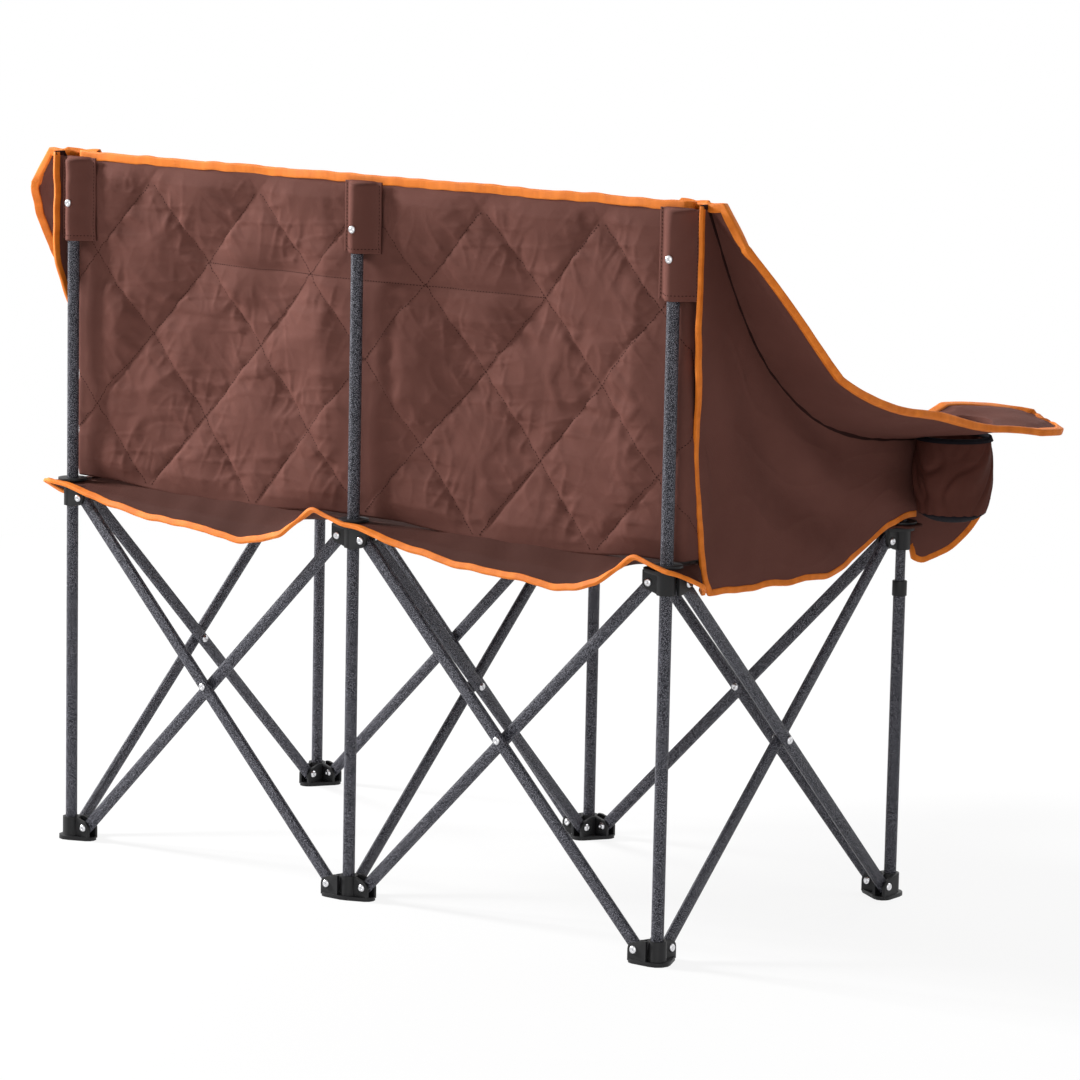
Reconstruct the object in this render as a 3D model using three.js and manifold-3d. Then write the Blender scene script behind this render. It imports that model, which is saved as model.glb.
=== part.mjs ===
// Folding camping loveseat: six columns joined by seven scissor pairs, with a quilted
// sling seat and back, flared padded arms and two hanging cup holders.
// Millimetres, +Z up, the sitter faces -Y and the sitter's right hand is at -X.
import * as THREE from 'three';
import { mergeVertices } from 'three/addons/utils/BufferGeometryUtils.js';
import Module from 'manifold-3d';

const wasm = await Module();
wasm.setup();

// Frame
const COLUMN_PITCH = 500; // column to column, across and front to back
const POLE_DIA = 16;
const POLE_TOP_GAP = 12; // pole below the top of its sleeve
const TUBE_WALL = 1.2;
const LEG_TOP = 413; // top of the outer tube of a front column
const POST_DIA = 13; // inner tube of a front column
const POST_BOTTOM = 191;
const POST_TOP_GAP = 9.5; // arm post below the arm pad; the middle post ends in its hub
const SOCKET_FLOOR = 3; // plastic left under a tube standing in its foot
const CLEARANCE = 0.3;
const ROUND_SIDES = 12; // facets of a tube, boss or bore
const PIN_SIDES = 6;

// Plastic feet and hubs
const BLOCK_HEIGHT = 30;
const PLATE_THICK = 5;
const PLATE_AXIS_RADIUS = 17;
const PLATE_EAR_RADIUS = 12;
const BOSS_RADIUS = 12;
const EAR_THICK = 4;
const EAR_RADIUS = 9;
const PIVOT_RISE = 17; // pivot above the plate's outer face
const PIVOT_REACH = 25; // pivot from the column's axis
const HUB_PIVOT_Z = 470;
const SLIDE_GAP = 0.4; // rear hub on its pole
const NECK_RADIUS = 11.5;
const NECK_HEIGHT = 4;
const FLANGE_RADIUS = 20;
const FLANGE_THICK = 3;
const COLLAR_RADIUS = 9.6;
const COLLAR_HEIGHT = 20;
const COLLAR_LIP = 3;

// Scissor braces
const BRACE_WIDTH = 17;
const BRACE_THICK = 10;
const BRACE_OVERHANG = 7; // tube past its end pivot
const BRACE_GAP = 2; // between the two tubes of a pair
const BRACE_SIDE_PLAY = 0.5; // tube in its ears
const BRACE_END_STEPS = 2; // half the facets of each round edge
const PIN_DIA = 5;
const RIVET_HEAD_RADIUS = 4.5;
const RIVET_HEAD_THICK = 1.5;

// Back
const BACK_SIDE_OUT = 13; // back past the axes of the corner poles
const BACK_BOTTOM = 496;
const BACK_TOP = 930;
const BACK_FACE_GAP = 10; // middle of the padding in front of the poles' front faces
const BACK_BOW = 16; // forward bow between the poles
const QUILT_ROWS = 4; // half diamonds up the back
const QUILT_PITCH = 94; // width of half a diamond
const QUILT_STEPS = 2; // mesh steps in a half diamond
const QUILT_TOP_BAND = 31; // back above the top row of diamonds
const QUILT_HEAD_ROW = 3; // row with a seam straight across it
const QUILT_HEAD_REACH = 3; // half diamonds that the seam runs each way from the middle
const QUILT_SEAM = 4; // thickness on a stitched line
const QUILT_PUFF = 13; // thickness at the middle of a diamond
const SAG_POWER = 2.2; // roundness of the cloth's sag between the columns

// Pole sleeves
const SLEEVE_HALF_WIDTH = 30;
const SLEEVE_HEIGHT = 96;
const SLEEVE_CLOTH = 2;
const SLEEVE_SLACK = 0.5; // cloth round the pole

// Seat
const SEAT_CLOTH = 3.2; // clamped between a hub and its flange
const SEAT_PUFF = 12;
const SEAT_SAG_ACROSS = 24; // in the middle of each bay, ahead of the back
const SEAT_SAG_DEEP = 12; // between the front and rear hubs
const SEAT_HUB_FLAT = 68; // level cloth around each hub
const SEAT_SIDE_IN = 7; // seat edge outside the column line, between the hubs
const SEAT_NOTCH_STEP = 5; // cloth steps out to its corner tab
const SEAT_CORNER_OUT = 24; // seat edge outside the column line, at the hubs
const SEAT_HOLE_RADIUS = 12;
const SEAT_QUILT_ROWS = 4;
const SEAT_QUILT_COLUMNS = 12;
const SEAT_EDGE_ROW = 0.85; // last row of points but one, as a share of the overhang
const SKIRT_OUT = 24; // rear skirt behind the rear hubs
const SKIRT_DROP = 38; // in the middle of each bay
const SKIRT_FALLS = [0.5, 0.8, 1]; // share of the drop at the last three rows
const LIP_OUT = 42; // front lip ahead of the front hubs
const LIP_DROP = 44;
const LIP_FALLS = [0, 0.2, 1];
const LIP_SIDE_IN = 40; // lip edge inside the column line

// Sides and arms
const SIDE_CLOTH = 3;
const SIDE_OUT = 8.8; // outer side panel outside the column line
const SIDE_BOTTOM = 443;
const SIDE_BOTTOM_REAR = 449;
const SIDE_BOTTOM_FRONT = 500;
const SIDE_RISE_START = 0.56; // share of the lower edge at which it rises to the front
const SIDE_RISE_RUN = 0.42;
const SIDE_REAR_TUCK = 48; // lower rear corner drawn forward
const SIDE_TUCK_POWER = 4;
const SIDE_FLARE = 26; // upper rear edge drawn outward, past its sleeve
const SIDE_WRAP = 28; // upper rear edge drawn back, beside its pole
const SIDE_WRAP_POWER = 6;
const SIDE_FLARE_BOTTOM = 620;
const SIDE_FLARE_RISE = 200;
const SIDE_ROWS = 8;
const LINING_IN = 14; // padded inner side inside the column line
const LINING_PAD = 10;
const LINING_EDGE = 4;
const LINING_BOTTOM = 498;
const LINING_TOP_GAP = 1.6; // lining below the side panel's top, under the arm
const LINING_STEPS = 12;
const LINING_ROWS = 4;
const FLAP_STEPS = 5;
const FLAP_GAP = 6; // start of the flap ahead of the hub's flange
const FLAP_FRONT = 132; // rounded front flap ahead of the arm post
const FLAP_BOTTOM = 432;
const FLAP_FLARE = 0.62; // outward per millimetre forward
const FLAP_DROP_RATE = 4; // how soon the flap reaches its lowest
const FLAP_CORNER = 0.6; // share of the flap's height that its round corner takes
const FLAP_ROUND = 0.96; // share of the flap's length that is rounded
const ARM_HEIGHT = 604; // seam at the arm post
const ARM_SWEEP_POWER = 2.6; // how late the seam climbs to the top of the back
const ARM_INNER_IN = 16; // inner edge of the arm inside the column line
const ARM_WIDTH_REAR = 76;
const ARM_WIDTH_FRONT = 158;
const ARM_WIDTH_POWER = 8.4; // how late the wing narrows to the rear
const ARM_EDGE = 5;
const ARM_PAD = 13;
const ARM_CROWN = 0.7; // roundness of the padding across the arm
const ARM_REAR_TAPER = 60; // the padding thins to the rear end over this length
const ARM_SWEEP_BACK = 46; // outer edge behind the inner edge at the rear
const ARM_CURL = 3; // how late across the pad it sweeps back
const ARM_LIFT = 40; // outer edge above the inner edge, at its most
const ARM_LIFT_PHASE = 0.2; // share of the lift's wave already past at the arm post
const ARM_LIFT_END = 0.67; // share of the arm at which the lift ends
const ARM_SEAM_GAP = 1.5; // side cloth below the arm pad
const ARM_REAR_GAP = 12; // rear end of the arm ahead of the middle of the back
const ARM_FRONT = 180; // tip ahead of the arm post
const ARM_NOSE = 96; // length of the rounded tip
const ARM_NOSE_OUT = 28; // tip drawn outward
const ARM_NOSE_RISE = 32; // inner edge of the tip above the seam
const ARM_NOSE_TILT = 44; // outer edge of the tip below its inner edge
const ARM_NOSE_DIP = 16; // end of the tip turned down
const ARM_NOSE_ROUND = 0.97; // share of the tip's length that is rounded
const ARM_STEPS = 15; // mesh steps from the rear pole to the arm post
const ARM_NOSE_STEPS = 7; // mesh steps ahead of the arm post
const ARM_ROWS = 4;
const PROBE = 2; // step at which the slope of an arm is taken, along it
const PROBE_ACROSS = 0.02; // and across it, as a share of its width
const SWEEP_PASSES = 3;

// Cup holders
const CUP_RADIUS = 47;
const CUP_BASE_RADIUS = 43;
const CUP_DEPTH = 112;
const CUP_CLOTH = 2;
const CUP_OUT = 64; // outside the column line
const CUP_FORWARD = 18; // ahead of the arm post
const CUP_SIDES = 18;

const HALF_PITCH = COLUMN_PITCH / 2;
const POLE_TOP = BACK_TOP - POLE_TOP_GAP;
const POST_TOP = ARM_HEIGHT - ARM_PAD / 2 - POST_TOP_GAP;
const HUB_TOP = HUB_PIVOT_Z + PIVOT_RISE;
const SEAT_Z = HUB_TOP + NECK_HEIGHT / 2;
const SEAT_REACH = COLUMN_PITCH + SEAT_CORNER_OUT;
const BRACE_OFFSET = (BRACE_THICK + BRACE_GAP) / 2;
const BRACE_RUN = COLUMN_PITCH - 2 * PIVOT_REACH;
const BRACE_RISE = HUB_PIVOT_Z - PIVOT_RISE;
const BRACE_LENGTH = Math.hypot(BRACE_RUN, BRACE_RISE);
const BRACE_SLOPE = Math.atan2(BRACE_RISE, BRACE_RUN);
const BACK_HALF_WIDTH = COLUMN_PITCH + BACK_SIDE_OUT;
const POLE_FRONT = HALF_PITCH - POLE_DIA / 2;
const BACK_Y = POLE_FRONT - BACK_FACE_GAP;
const ARM_REAR_Y = BACK_Y - ARM_REAR_GAP;
const SIDE_FRONT = -HALF_PITCH - POST_DIA;

const steel = new THREE.MeshStandardMaterial({ color: 0x3c3d40, roughness: 0.45, metalness: 0.8 });
const plastic = new THREE.MeshStandardMaterial({ color: 0x141416, roughness: 0.5, metalness: 0 });
const cloth = new THREE.MeshStandardMaterial({ color: 0x53302a, roughness: 0.85, metalness: 0 });
const sleeveCloth = new THREE.MeshStandardMaterial({ color: 0x4a2a25, roughness: 0.8, metalness: 0 });
const pouchCloth = new THREE.MeshStandardMaterial({ color: 0x3b221f, roughness: 0.85, metalness: 0 });

const loveseat = new THREE.Group();

function clamp01(value) {
  return Math.min(1, Math.max(0, value));
}

function smooth(value) {
  const t = clamp01(value);
  return t * t * (3 - 2 * t);
}

function mix(a, b, t) {
  return a + (b - a) * t;
}

function toSolid(geometry) {
  const bare = geometry.clone();
  bare.deleteAttribute('normal');
  bare.deleteAttribute('uv');
  const welded = mergeVertices(bare, 1e-4);
  return new wasm.Manifold(new wasm.Mesh({
    numProp: 3,
    vertProperties: new Float32Array(welded.attributes.position.array),
    triVerts: new Uint32Array(welded.index.array),
  }));
}

function toGeometry(solid) {
  const mesh = solid.getMesh();
  const geometry = new THREE.BufferGeometry();
  geometry.setAttribute('position', new THREE.Float32BufferAttribute(mesh.vertProperties, 3));
  geometry.setIndex(Array.from(mesh.triVerts));
  const flat = geometry.toNonIndexed();
  flat.computeVertexNormals();
  return flat;
}

function join(pieces) {
  return pieces.map(toSolid).reduce((sum, piece) => sum.add(piece));
}

function cut(solid, tools) {
  return tools.map(toSolid).reduce((rest, tool) => rest.subtract(tool), solid);
}

function add(name, geometry, material, parent = loveseat) {
  const mesh = new THREE.Mesh(geometry, material);
  mesh.name = name;
  parent.add(mesh);
  return mesh;
}

function prism(shape, depth, curveSegments = 6) {
  return new THREE.ExtrudeGeometry(shape, { depth, bevelEnabled: false, curveSegments });
}

function rod(radius, bottom, top, sides = ROUND_SIDES) {
  return new THREE.CylinderGeometry(radius, radius, top - bottom, sides)
    .rotateX(Math.PI / 2)
    .translate(0, 0, (bottom + top) / 2);
}

// A cutter whose flats, not its corners, lie at the radius.
function bore(radius, bottom, top) {
  return rod(radius / Math.cos(Math.PI / ROUND_SIDES), bottom, top);
}

function tube(diameter, bottom, top) {
  const ring = new THREE.Shape().absarc(0, 0, diameter / 2, 0, 2 * Math.PI);
  ring.holes.push(new THREE.Path().absarc(0, 0, diameter / 2 - TUBE_WALL, 0, 2 * Math.PI));
  return prism(ring, top - bottom, ROUND_SIDES / 2).translate(0, 0, bottom);
}

// Convex outline round a set of circles [x, y, radius].
function hullShape(circles, steps = ROUND_SIDES) {
  const points = circles.flatMap(([x, y, radius]) => Array.from({ length: steps }, (_, i) => {
    const angle = (2 * Math.PI * i) / steps;
    return new THREE.Vector2(x + radius * Math.cos(angle), y + radius * Math.sin(angle));
  }));
  points.sort((a, b) => a.x - b.x || a.y - b.y);
  const turn = (o, a, b) => (a.x - o.x) * (b.y - o.y) - (a.y - o.y) * (b.x - o.x);
  const chain = (list) => list.reduce((hull, point) => {
    while (hull.length > 1 && turn(hull.at(-2), hull.at(-1), point) <= 1e-6) {
      hull.pop();
    }
    hull.push(point);
    return hull;
  }, []);
  const lower = chain(points);
  const upper = chain([...points].reverse());
  return new THREE.Shape([...lower.slice(0, -1), ...upper.slice(0, -1)]);
}

// The side of one ear, drawn with x away from the column and y up.
function earShape() {
  const ear = new THREE.Shape();
  const tip = PIVOT_REACH + EAR_RADIUS;
  ear.moveTo(BOSS_RADIUS / 2, PLATE_THICK / 2);
  ear.lineTo(tip, PLATE_THICK / 2);
  ear.lineTo(tip, PIVOT_RISE);
  ear.absarc(PIVOT_REACH, PIVOT_RISE, EAR_RADIUS, 0, Math.PI / 2);
  ear.lineTo(BOSS_RADIUS, BLOCK_HEIGHT);
  ear.lineTo(BOSS_RADIUS / 2, BLOCK_HEIGHT);
  return ear;
}

// A foot: plate, boss and, toward each neighbouring column, two ears with a rivet
// between them that the brace turns on. A hub is the same block turned over.
function block(angles) {
  const slot = BRACE_THICK / 2 + BRACE_SIDE_PLAY;
  const plateCircles = [[0, 0, PLATE_AXIS_RADIUS]];
  const pieces = [rod(BOSS_RADIUS, PLATE_THICK / 2, BLOCK_HEIGHT)];
  for (const angle of angles) {
    const ears = [BRACE_OFFSET - slot - EAR_THICK, BRACE_OFFSET + slot].map((side) => (
      prism(earShape(), EAR_THICK, 2).rotateX(Math.PI / 2).translate(0, side + EAR_THICK, 0)
    ));
    const pin = new THREE.CylinderGeometry(PIN_DIA / 2, PIN_DIA / 2, 2 * slot + EAR_THICK, PIN_SIDES)
      .translate(PIVOT_REACH, BRACE_OFFSET, 0)
      .translate(0, 0, PIVOT_RISE);
    pieces.push(...[...ears, pin].map((piece) => piece.rotateZ(angle)));
    const ear = new THREE.Vector2(PIVOT_REACH, BRACE_OFFSET).rotateAround(new THREE.Vector2(), angle);
    plateCircles.push([ear.x, ear.y, PLATE_EAR_RADIUS]);
  }
  pieces.push(prism(hullShape(plateCircles), PLATE_THICK));
  return join(pieces);
}

function foot(angles, tubeDiameter) {
  const socket = bore(tubeDiameter / 2 + CLEARANCE, SOCKET_FLOOR - CLEARANCE, 2 * BLOCK_HEIGHT);
  return toGeometry(cut(block(angles), [socket]));
}

function hub(angles, boreRadius) {
  const body = toSolid(toGeometry(block(angles.map((angle) => -angle))).rotateX(Math.PI)
    .translate(0, 0, HUB_TOP));
  const neck = rod(NECK_RADIUS, HUB_TOP - PLATE_THICK / 2, HUB_TOP + NECK_HEIGHT + FLANGE_THICK / 2);
  const flangeBottom = HUB_TOP + NECK_HEIGHT;
  const flange = rod(FLANGE_RADIUS, flangeBottom, flangeBottom + FLANGE_THICK);
  const whole = body.add(toSolid(neck)).add(toSolid(flange));
  const hole = bore(boreRadius, HUB_TOP - 2 * BLOCK_HEIGHT, HUB_TOP + 2 * BLOCK_HEIGHT);
  return toGeometry(cut(whole, [hole]));
}

function stadium(width, thick) {
  const flat = (width - thick) / 2;
  const shape = new THREE.Shape();
  shape.absarc(flat, 0, thick / 2, -Math.PI / 2, Math.PI / 2);
  shape.absarc(-flat, 0, thick / 2, Math.PI / 2, 1.5 * Math.PI);
  return shape;
}

function crossRod(diameter, from, to, along) {
  return new THREE.CylinderGeometry(diameter / 2, diameter / 2, to - from, PIN_SIDES)
    .translate(along, (from + to) / 2, 0);
}

// A flat-oval tube along +X from its lower pivot, its thickness along Y. The tube that
// carries the crossing rivet has it set fast; its partner has a clear hole there.
function brace(carriesRivet) {
  const section = stadium(BRACE_WIDTH, BRACE_THICK);
  const inside = stadium(BRACE_WIDTH - 2 * TUBE_WALL, BRACE_THICK - 2 * TUBE_WALL);
  section.holes.push(new THREE.Path(inside.getPoints(BRACE_END_STEPS)));
  const tubeSolid = toSolid(prism(section, BRACE_LENGTH + 2 * BRACE_OVERHANG, BRACE_END_STEPS)
    .rotateZ(Math.PI / 2)
    .rotateY(Math.PI / 2)
    .rotateX(Math.PI / 2)
    .translate(-BRACE_OVERHANG, 0, 0));
  const holeDia = (PIN_DIA + 2 * CLEARANCE) / Math.cos(Math.PI / PIN_SIDES);
  const middle = BRACE_LENGTH / 2;
  const holesAt = carriesRivet ? [0, BRACE_LENGTH] : [0, middle, BRACE_LENGTH];
  const drilled = cut(tubeSolid, holesAt.map((along) => (
    crossRod(holeDia, -BRACE_THICK, BRACE_THICK, along)
  )));
  if (!carriesRivet) {
    return toGeometry(drilled);
  }
  const nearFace = -BRACE_THICK / 2;
  const farFace = BRACE_THICK / 2 + BRACE_GAP + BRACE_THICK + CLEARANCE;
  const rivet = join([
    crossRod(PIN_DIA, nearFace, farFace + RIVET_HEAD_THICK / 2, middle),
    crossRod(2 * RIVET_HEAD_RADIUS, nearFace - RIVET_HEAD_THICK, nearFace + TUBE_WALL / 2, middle),
    crossRod(2 * RIVET_HEAD_RADIUS, farFace, farFace + RIVET_HEAD_THICK, middle),
  ]);
  return toGeometry(drilled.add(rivet));
}

// A scissor pair from column a to column b. Seen with a on the left, the falling tube
// runs from a's hub to b's foot on the near side and the rising tube the other way.
function scissor(name, a, b) {
  const bay = new THREE.Group();
  bay.position.set(a.x, a.y, 0);
  bay.rotation.z = Math.atan2(b.y - a.y, b.x - a.x);
  loveseat.add(bay);
  const falling = add(`brace_${name}_falling`, brace(true), steel, bay);
  falling.position.set(COLUMN_PITCH - PIVOT_REACH, -BRACE_OFFSET, PIVOT_RISE);
  falling.rotation.y = Math.PI + BRACE_SLOPE;
  const rising = add(`brace_${name}_rising`, brace(false), steel, bay);
  rising.position.set(PIVOT_REACH, BRACE_OFFSET, PIVOT_RISE);
  rising.rotation.y = -BRACE_SLOPE;
}

// A closed cloth or pad: a grid of points, each with a thickness across the surface.
function sheet(columns, rows, point, thickness, leans = () => true) {
  const middle = [];
  for (let j = 0; j <= rows; j += 1) {
    for (let i = 0; i <= columns; i += 1) {
      middle.push(point(i / columns, j / rows));
    }
  }
  const at = (i, j) => j * (columns + 1) + i;
  const positions = [[], []];
  for (let j = 0; j <= rows; j += 1) {
    for (let i = 0; i <= columns; i += 1) {
      const across = middle[at(Math.min(i + 1, columns), j)].clone()
        .sub(middle[at(Math.max(i - 1, 0), j)]);
      const along = middle[at(i, Math.min(j + 1, rows))].clone()
        .sub(middle[at(i, Math.max(j - 1, 0))]);
      const normal = across.cross(along).normalize();
      const half = thickness(i / columns, j / rows) / 2;
      positions[0].push(middle[at(i, j)].clone().addScaledVector(normal, half));
      positions[1].push(middle[at(i, j)].clone().addScaledVector(normal, -half));
    }
  }
  const count = middle.length;
  const triangles = [];
  const quad = (a, b, c, d) => triangles.push(a, b, c, a, c, d);
  for (let j = 0; j < rows; j += 1) {
    for (let i = 0; i < columns; i += 1) {
      const [a, b, c, d] = [at(i, j), at(i + 1, j), at(i + 1, j + 1), at(i, j + 1)];
      const face = leans(i, j) ? [a, b, c, d] : [b, c, d, a];
      quad(...face);
      quad(...face.map((k) => k + count).reverse());
    }
  }
  const rim = [];
  for (let i = 0; i < columns; i += 1) {
    rim.push(at(i, 0));
  }
  for (let j = 0; j < rows; j += 1) {
    rim.push(at(columns, j));
  }
  for (let i = columns; i > 0; i -= 1) {
    rim.push(at(i, rows));
  }
  for (let j = rows; j > 0; j -= 1) {
    rim.push(at(0, j));
  }
  rim.forEach((k, n) => {
    const next = rim[(n + 1) % rim.length];
    quad(next, k, k + count, next + count);
  });
  const geometry = new THREE.BufferGeometry();
  const flatList = positions.flat().flatMap((p) => [p.x, p.y, p.z]);
  geometry.setAttribute('position', new THREE.Float32BufferAttribute(flatList, 3));
  geometry.setIndex(enclosed(positions.flat(), triangles) < 0 ? triangles.reverse() : triangles);
  const faceted = geometry.toNonIndexed();
  faceted.computeVertexNormals();
  return faceted;
}

function enclosed(points, triangles) {
  let volume = 0;
  for (let k = 0; k < triangles.length; k += 3) {
    const [a, b, c] = [0, 1, 2].map((n) => points[triangles[k + n]]);
    volume += a.clone().cross(b).dot(c) / 6;
  }
  return volume;
}

// Puff of diamond quilting at lattice coordinates counted in half diamonds.
function quilt(column, row) {
  const u = (column + row) / 2;
  const v = (column - row) / 2;
  return Math.sqrt(Math.abs(Math.sin(Math.PI * u) * Math.sin(Math.PI * v)));
}

// A mesh cell's diagonal follows the stitched line that crosses its half diamond. The lattice is
// counted from the middle column of the mesh.
function quiltLean(middle) {
  return (i, j) => (Math.floor((i - middle) / QUILT_STEPS) + Math.floor(j / QUILT_STEPS)) % 2 === 0;
}

// Distance to the nearest column line, as a share of half a bay beyond the level cloth.
function bayShare(x) {
  const nearest = Math.min(...[-1, 0, 1].map((n) => Math.abs(x - n * COLUMN_PITCH)));
  const share = clamp01((nearest - SEAT_HUB_FLAT) / (HALF_PITCH - SEAT_HUB_FLAT));
  return 1 - (1 - share) ** SAG_POWER;
}

// Padded back. Its diamonds run out over the sides, and one seam crosses it at head height.
function backPanel() {
  const reach = Math.ceil((BACK_HALF_WIDTH * QUILT_STEPS) / QUILT_PITCH);
  const rows = QUILT_ROWS * QUILT_STEPS + 1;
  const columnAt = (s) => {
    const most = BACK_HALF_WIDTH / QUILT_PITCH;
    const column = (mix(-1, 1, s) * reach) / QUILT_STEPS;
    return Math.max(-most, Math.min(most, column));
  };
  const rowAt = (t) => Math.round(t * rows) / QUILT_STEPS;
  const point = (s, t) => {
    const x = columnAt(s) * QUILT_PITCH;
    const row = rowAt(t);
    const quilted = mix(BACK_BOTTOM, BACK_TOP - QUILT_TOP_BAND, row / QUILT_ROWS);
    const z = row > QUILT_ROWS ? BACK_TOP : quilted;
    const rise = (z - BACK_BOTTOM) / (BACK_TOP - BACK_BOTTOM);
    const bow = BACK_BOW * bayShare(x) * Math.sin(Math.PI * rise);
    return new THREE.Vector3(x, BACK_Y - bow, z);
  };
  const thickness = (s, t) => {
    const column = columnAt(s);
    const row = rowAt(t);
    const onHeadSeam = row === QUILT_HEAD_ROW && Math.abs(column) < QUILT_HEAD_REACH;
    const onEdge = s === 0 || s === 1 || t === 0 || t === 1;
    return mix(QUILT_SEAM, QUILT_PUFF, onHeadSeam || onEdge ? 0 : quilt(column, row));
  };
  return sheet(2 * reach, rows, point, thickness, quiltLean(reach));
}

// Cross-section of a strap round a pole, flat-backed at y and half round behind.
function strapShape(radius, y) {
  const shape = new THREE.Shape();
  shape.moveTo(-radius, y);
  shape.lineTo(radius, y);
  shape.absarc(0, 0, radius, 0, Math.PI);
  return shape;
}

// A sleeve sewn to the back over the top of a pole: a flat flange against the padding
// and a round bulge with a closed top, drawn about the pole's axis.
function sleeve() {
  const flangeRear = SLEEVE_CLOTH + CLEARANCE + QUILT_PUFF / 2 - POLE_DIA / 2 - BACK_FACE_GAP;
  const inner = POLE_DIA / 2 + SLEEVE_SLACK;
  const bottom = BACK_TOP - SLEEVE_HEIGHT;
  const flange = new THREE.BoxGeometry(2 * SLEEVE_HALF_WIDTH, SLEEVE_CLOTH, SLEEVE_HEIGHT)
    .translate(0, flangeRear - SLEEVE_CLOTH / 2, BACK_TOP - SLEEVE_HEIGHT / 2);
  const bulge = prism(strapShape(inner + SLEEVE_CLOTH, flangeRear - SLEEVE_CLOTH / 2), SLEEVE_HEIGHT)
    .translate(0, 0, bottom);
  const hollowTop = POLE_TOP + CLEARANCE;
  const hollow = prism(strapShape(inner, flangeRear), hollowTop - bottom + inner)
    .translate(0, 0, bottom - inner);
  return toGeometry(cut(join([flange, bulge]), [hollow]));
}

// Height of the seat cloth: level round each hub and along the back, sagging between them.
function seatHeight(x, y) {
  const inner = HALF_PITCH - SEAT_HUB_FLAT;
  const deep = smooth((inner - Math.abs(y)) / inner);
  const ahead = smooth((BACK_Y - y) / (BACK_Y - inner));
  return SEAT_Z - SEAT_SAG_ACROSS * bayShare(x) * ahead - SEAT_SAG_DEEP * deep;
}

// Half of the seat, from the middle fold to an overhanging edge. Each row of points has a
// place along y, a share of the edge's drop, a place in the quilting and a reach sideways.
function seatHalf(sign, out, drop, falls, edgeSide) {
  const inner = HALF_PITCH - SEAT_HUB_FLAT;
  const notch = BACK_Y - QUILT_SEAM;
  const quiltRows = SEAT_QUILT_ROWS * QUILT_STEPS / 2;
  const rows = [];
  for (let k = 0; k <= quiltRows; k += 1) {
    const y = mix(CLEARANCE, inner, k / quiltRows);
    rows.push({ y, fall: 0, row: k / QUILT_STEPS, side: SEAT_SIDE_IN });
  }
  rows.push({ y: notch, fall: 0, row: 0, side: SEAT_SIDE_IN });
  rows.push({ y: notch + SEAT_NOTCH_STEP, fall: 0, row: 0, side: SEAT_CORNER_OUT });
  rows.push({ y: HALF_PITCH + SEAT_HOLE_RADIUS, fall: falls[0], row: 0, side: SEAT_CORNER_OUT });
  rows.push({ y: HALF_PITCH + out * SEAT_EDGE_ROW, fall: falls[1], row: 0, side: edgeSide });
  rows.push({ y: HALF_PITCH + out, fall: falls[2], row: 0, side: edgeSide });
  const columns = SEAT_QUILT_COLUMNS * QUILT_STEPS;
  const rowAt = (t) => rows[Math.round(t * (rows.length - 1))];
  const point = (s, t) => {
    const row = rowAt(t);
    const reach = COLUMN_PITCH + row.side;
    const x = mix(-SEAT_REACH, SEAT_REACH, s);
    const height = seatHeight(x, sign * Math.min(row.y, HALF_PITCH));
    const hang = drop * row.fall * bayShare(x);
    return new THREE.Vector3((x * reach) / SEAT_REACH, sign * row.y, height - hang);
  };
  const thickness = (s, t) => {
    const row = rowAt(t);
    const inside = row.row > 0 && s > 0 && s < 1;
    const share = bayShare(mix(-SEAT_REACH, SEAT_REACH, s));
    return mix(SEAT_CLOTH, SEAT_PUFF, inside ? quilt(s * SEAT_QUILT_COLUMNS, row.row) * share : 0);
  };
  const cloth = toSolid(sheet(columns, rows.length - 1, point, thickness, quiltLean(columns / 2)));
  const holes = [-1, 0, 1].map((n) => (
    rod(SEAT_HOLE_RADIUS, SEAT_Z - BLOCK_HEIGHT, SEAT_Z + BLOCK_HEIGHT)
      .translate(n * COLUMN_PITCH, sign * HALF_PITCH, 0)
  ));
  return toGeometry(cut(cloth, holes));
}

// Distance along an arm from its post (0) to its rear end (1).
function armShare(y) {
  return clamp01((y + HALF_PITCH) / (ARM_REAR_Y + HALF_PITCH));
}

// Height of the seam of an arm, which climbs to the top of the back.
function armHeight(y) {
  return mix(ARM_HEIGHT, BACK_TOP, armShare(y) ** ARM_SWEEP_POWER);
}

function armThickness(y, across) {
  const taper = clamp01((ARM_REAR_Y - y) / ARM_REAR_TAPER);
  return mix(ARM_EDGE, ARM_PAD, taper * Math.sin(Math.PI * clamp01(across)) ** ARM_CROWN);
}

// A point of the arm pad, from its inner edge (across 0) to its outer edge (across 1).
// The outer edge sweeps back, but no further than the back itself.
function armPoint(side, y, across) {
  const share = armShare(y);
  const width = mix(ARM_WIDTH_FRONT, ARM_WIDTH_REAR, share ** ARM_WIDTH_POWER);
  const ahead = Math.max(0, -HALF_PITCH - y);
  const noseStart = ARM_FRONT - ARM_NOSE;
  const tip = Math.min(ARM_NOSE_ROUND, Math.max(0, ahead - noseStart) / ARM_NOSE);
  const nose = Math.sqrt(1 - tip ** 2);
  const middle = COLUMN_PITCH - ARM_INNER_IN + width / 2 + ARM_NOSE_OUT * ahead / ARM_FRONT;
  const x = middle + (across - 0.5) * width * nose;
  const back = ARM_SWEEP_BACK * share * across ** ARM_CURL;
  const wave = mix(ARM_LIFT_PHASE, 1, clamp01(share / ARM_LIFT_END));
  const lift = ARM_LIFT * Math.sin(Math.PI * wave) * across;
  const forward = clamp01(ahead / noseStart);
  const rise = forward * (ARM_NOSE_RISE - ARM_NOSE_TILT * across) - ARM_NOSE_DIP * tip ** 2;
  return new THREE.Vector3(side * x, Math.min(y + back, BACK_Y), armHeight(y) + lift + rise);
}

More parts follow.
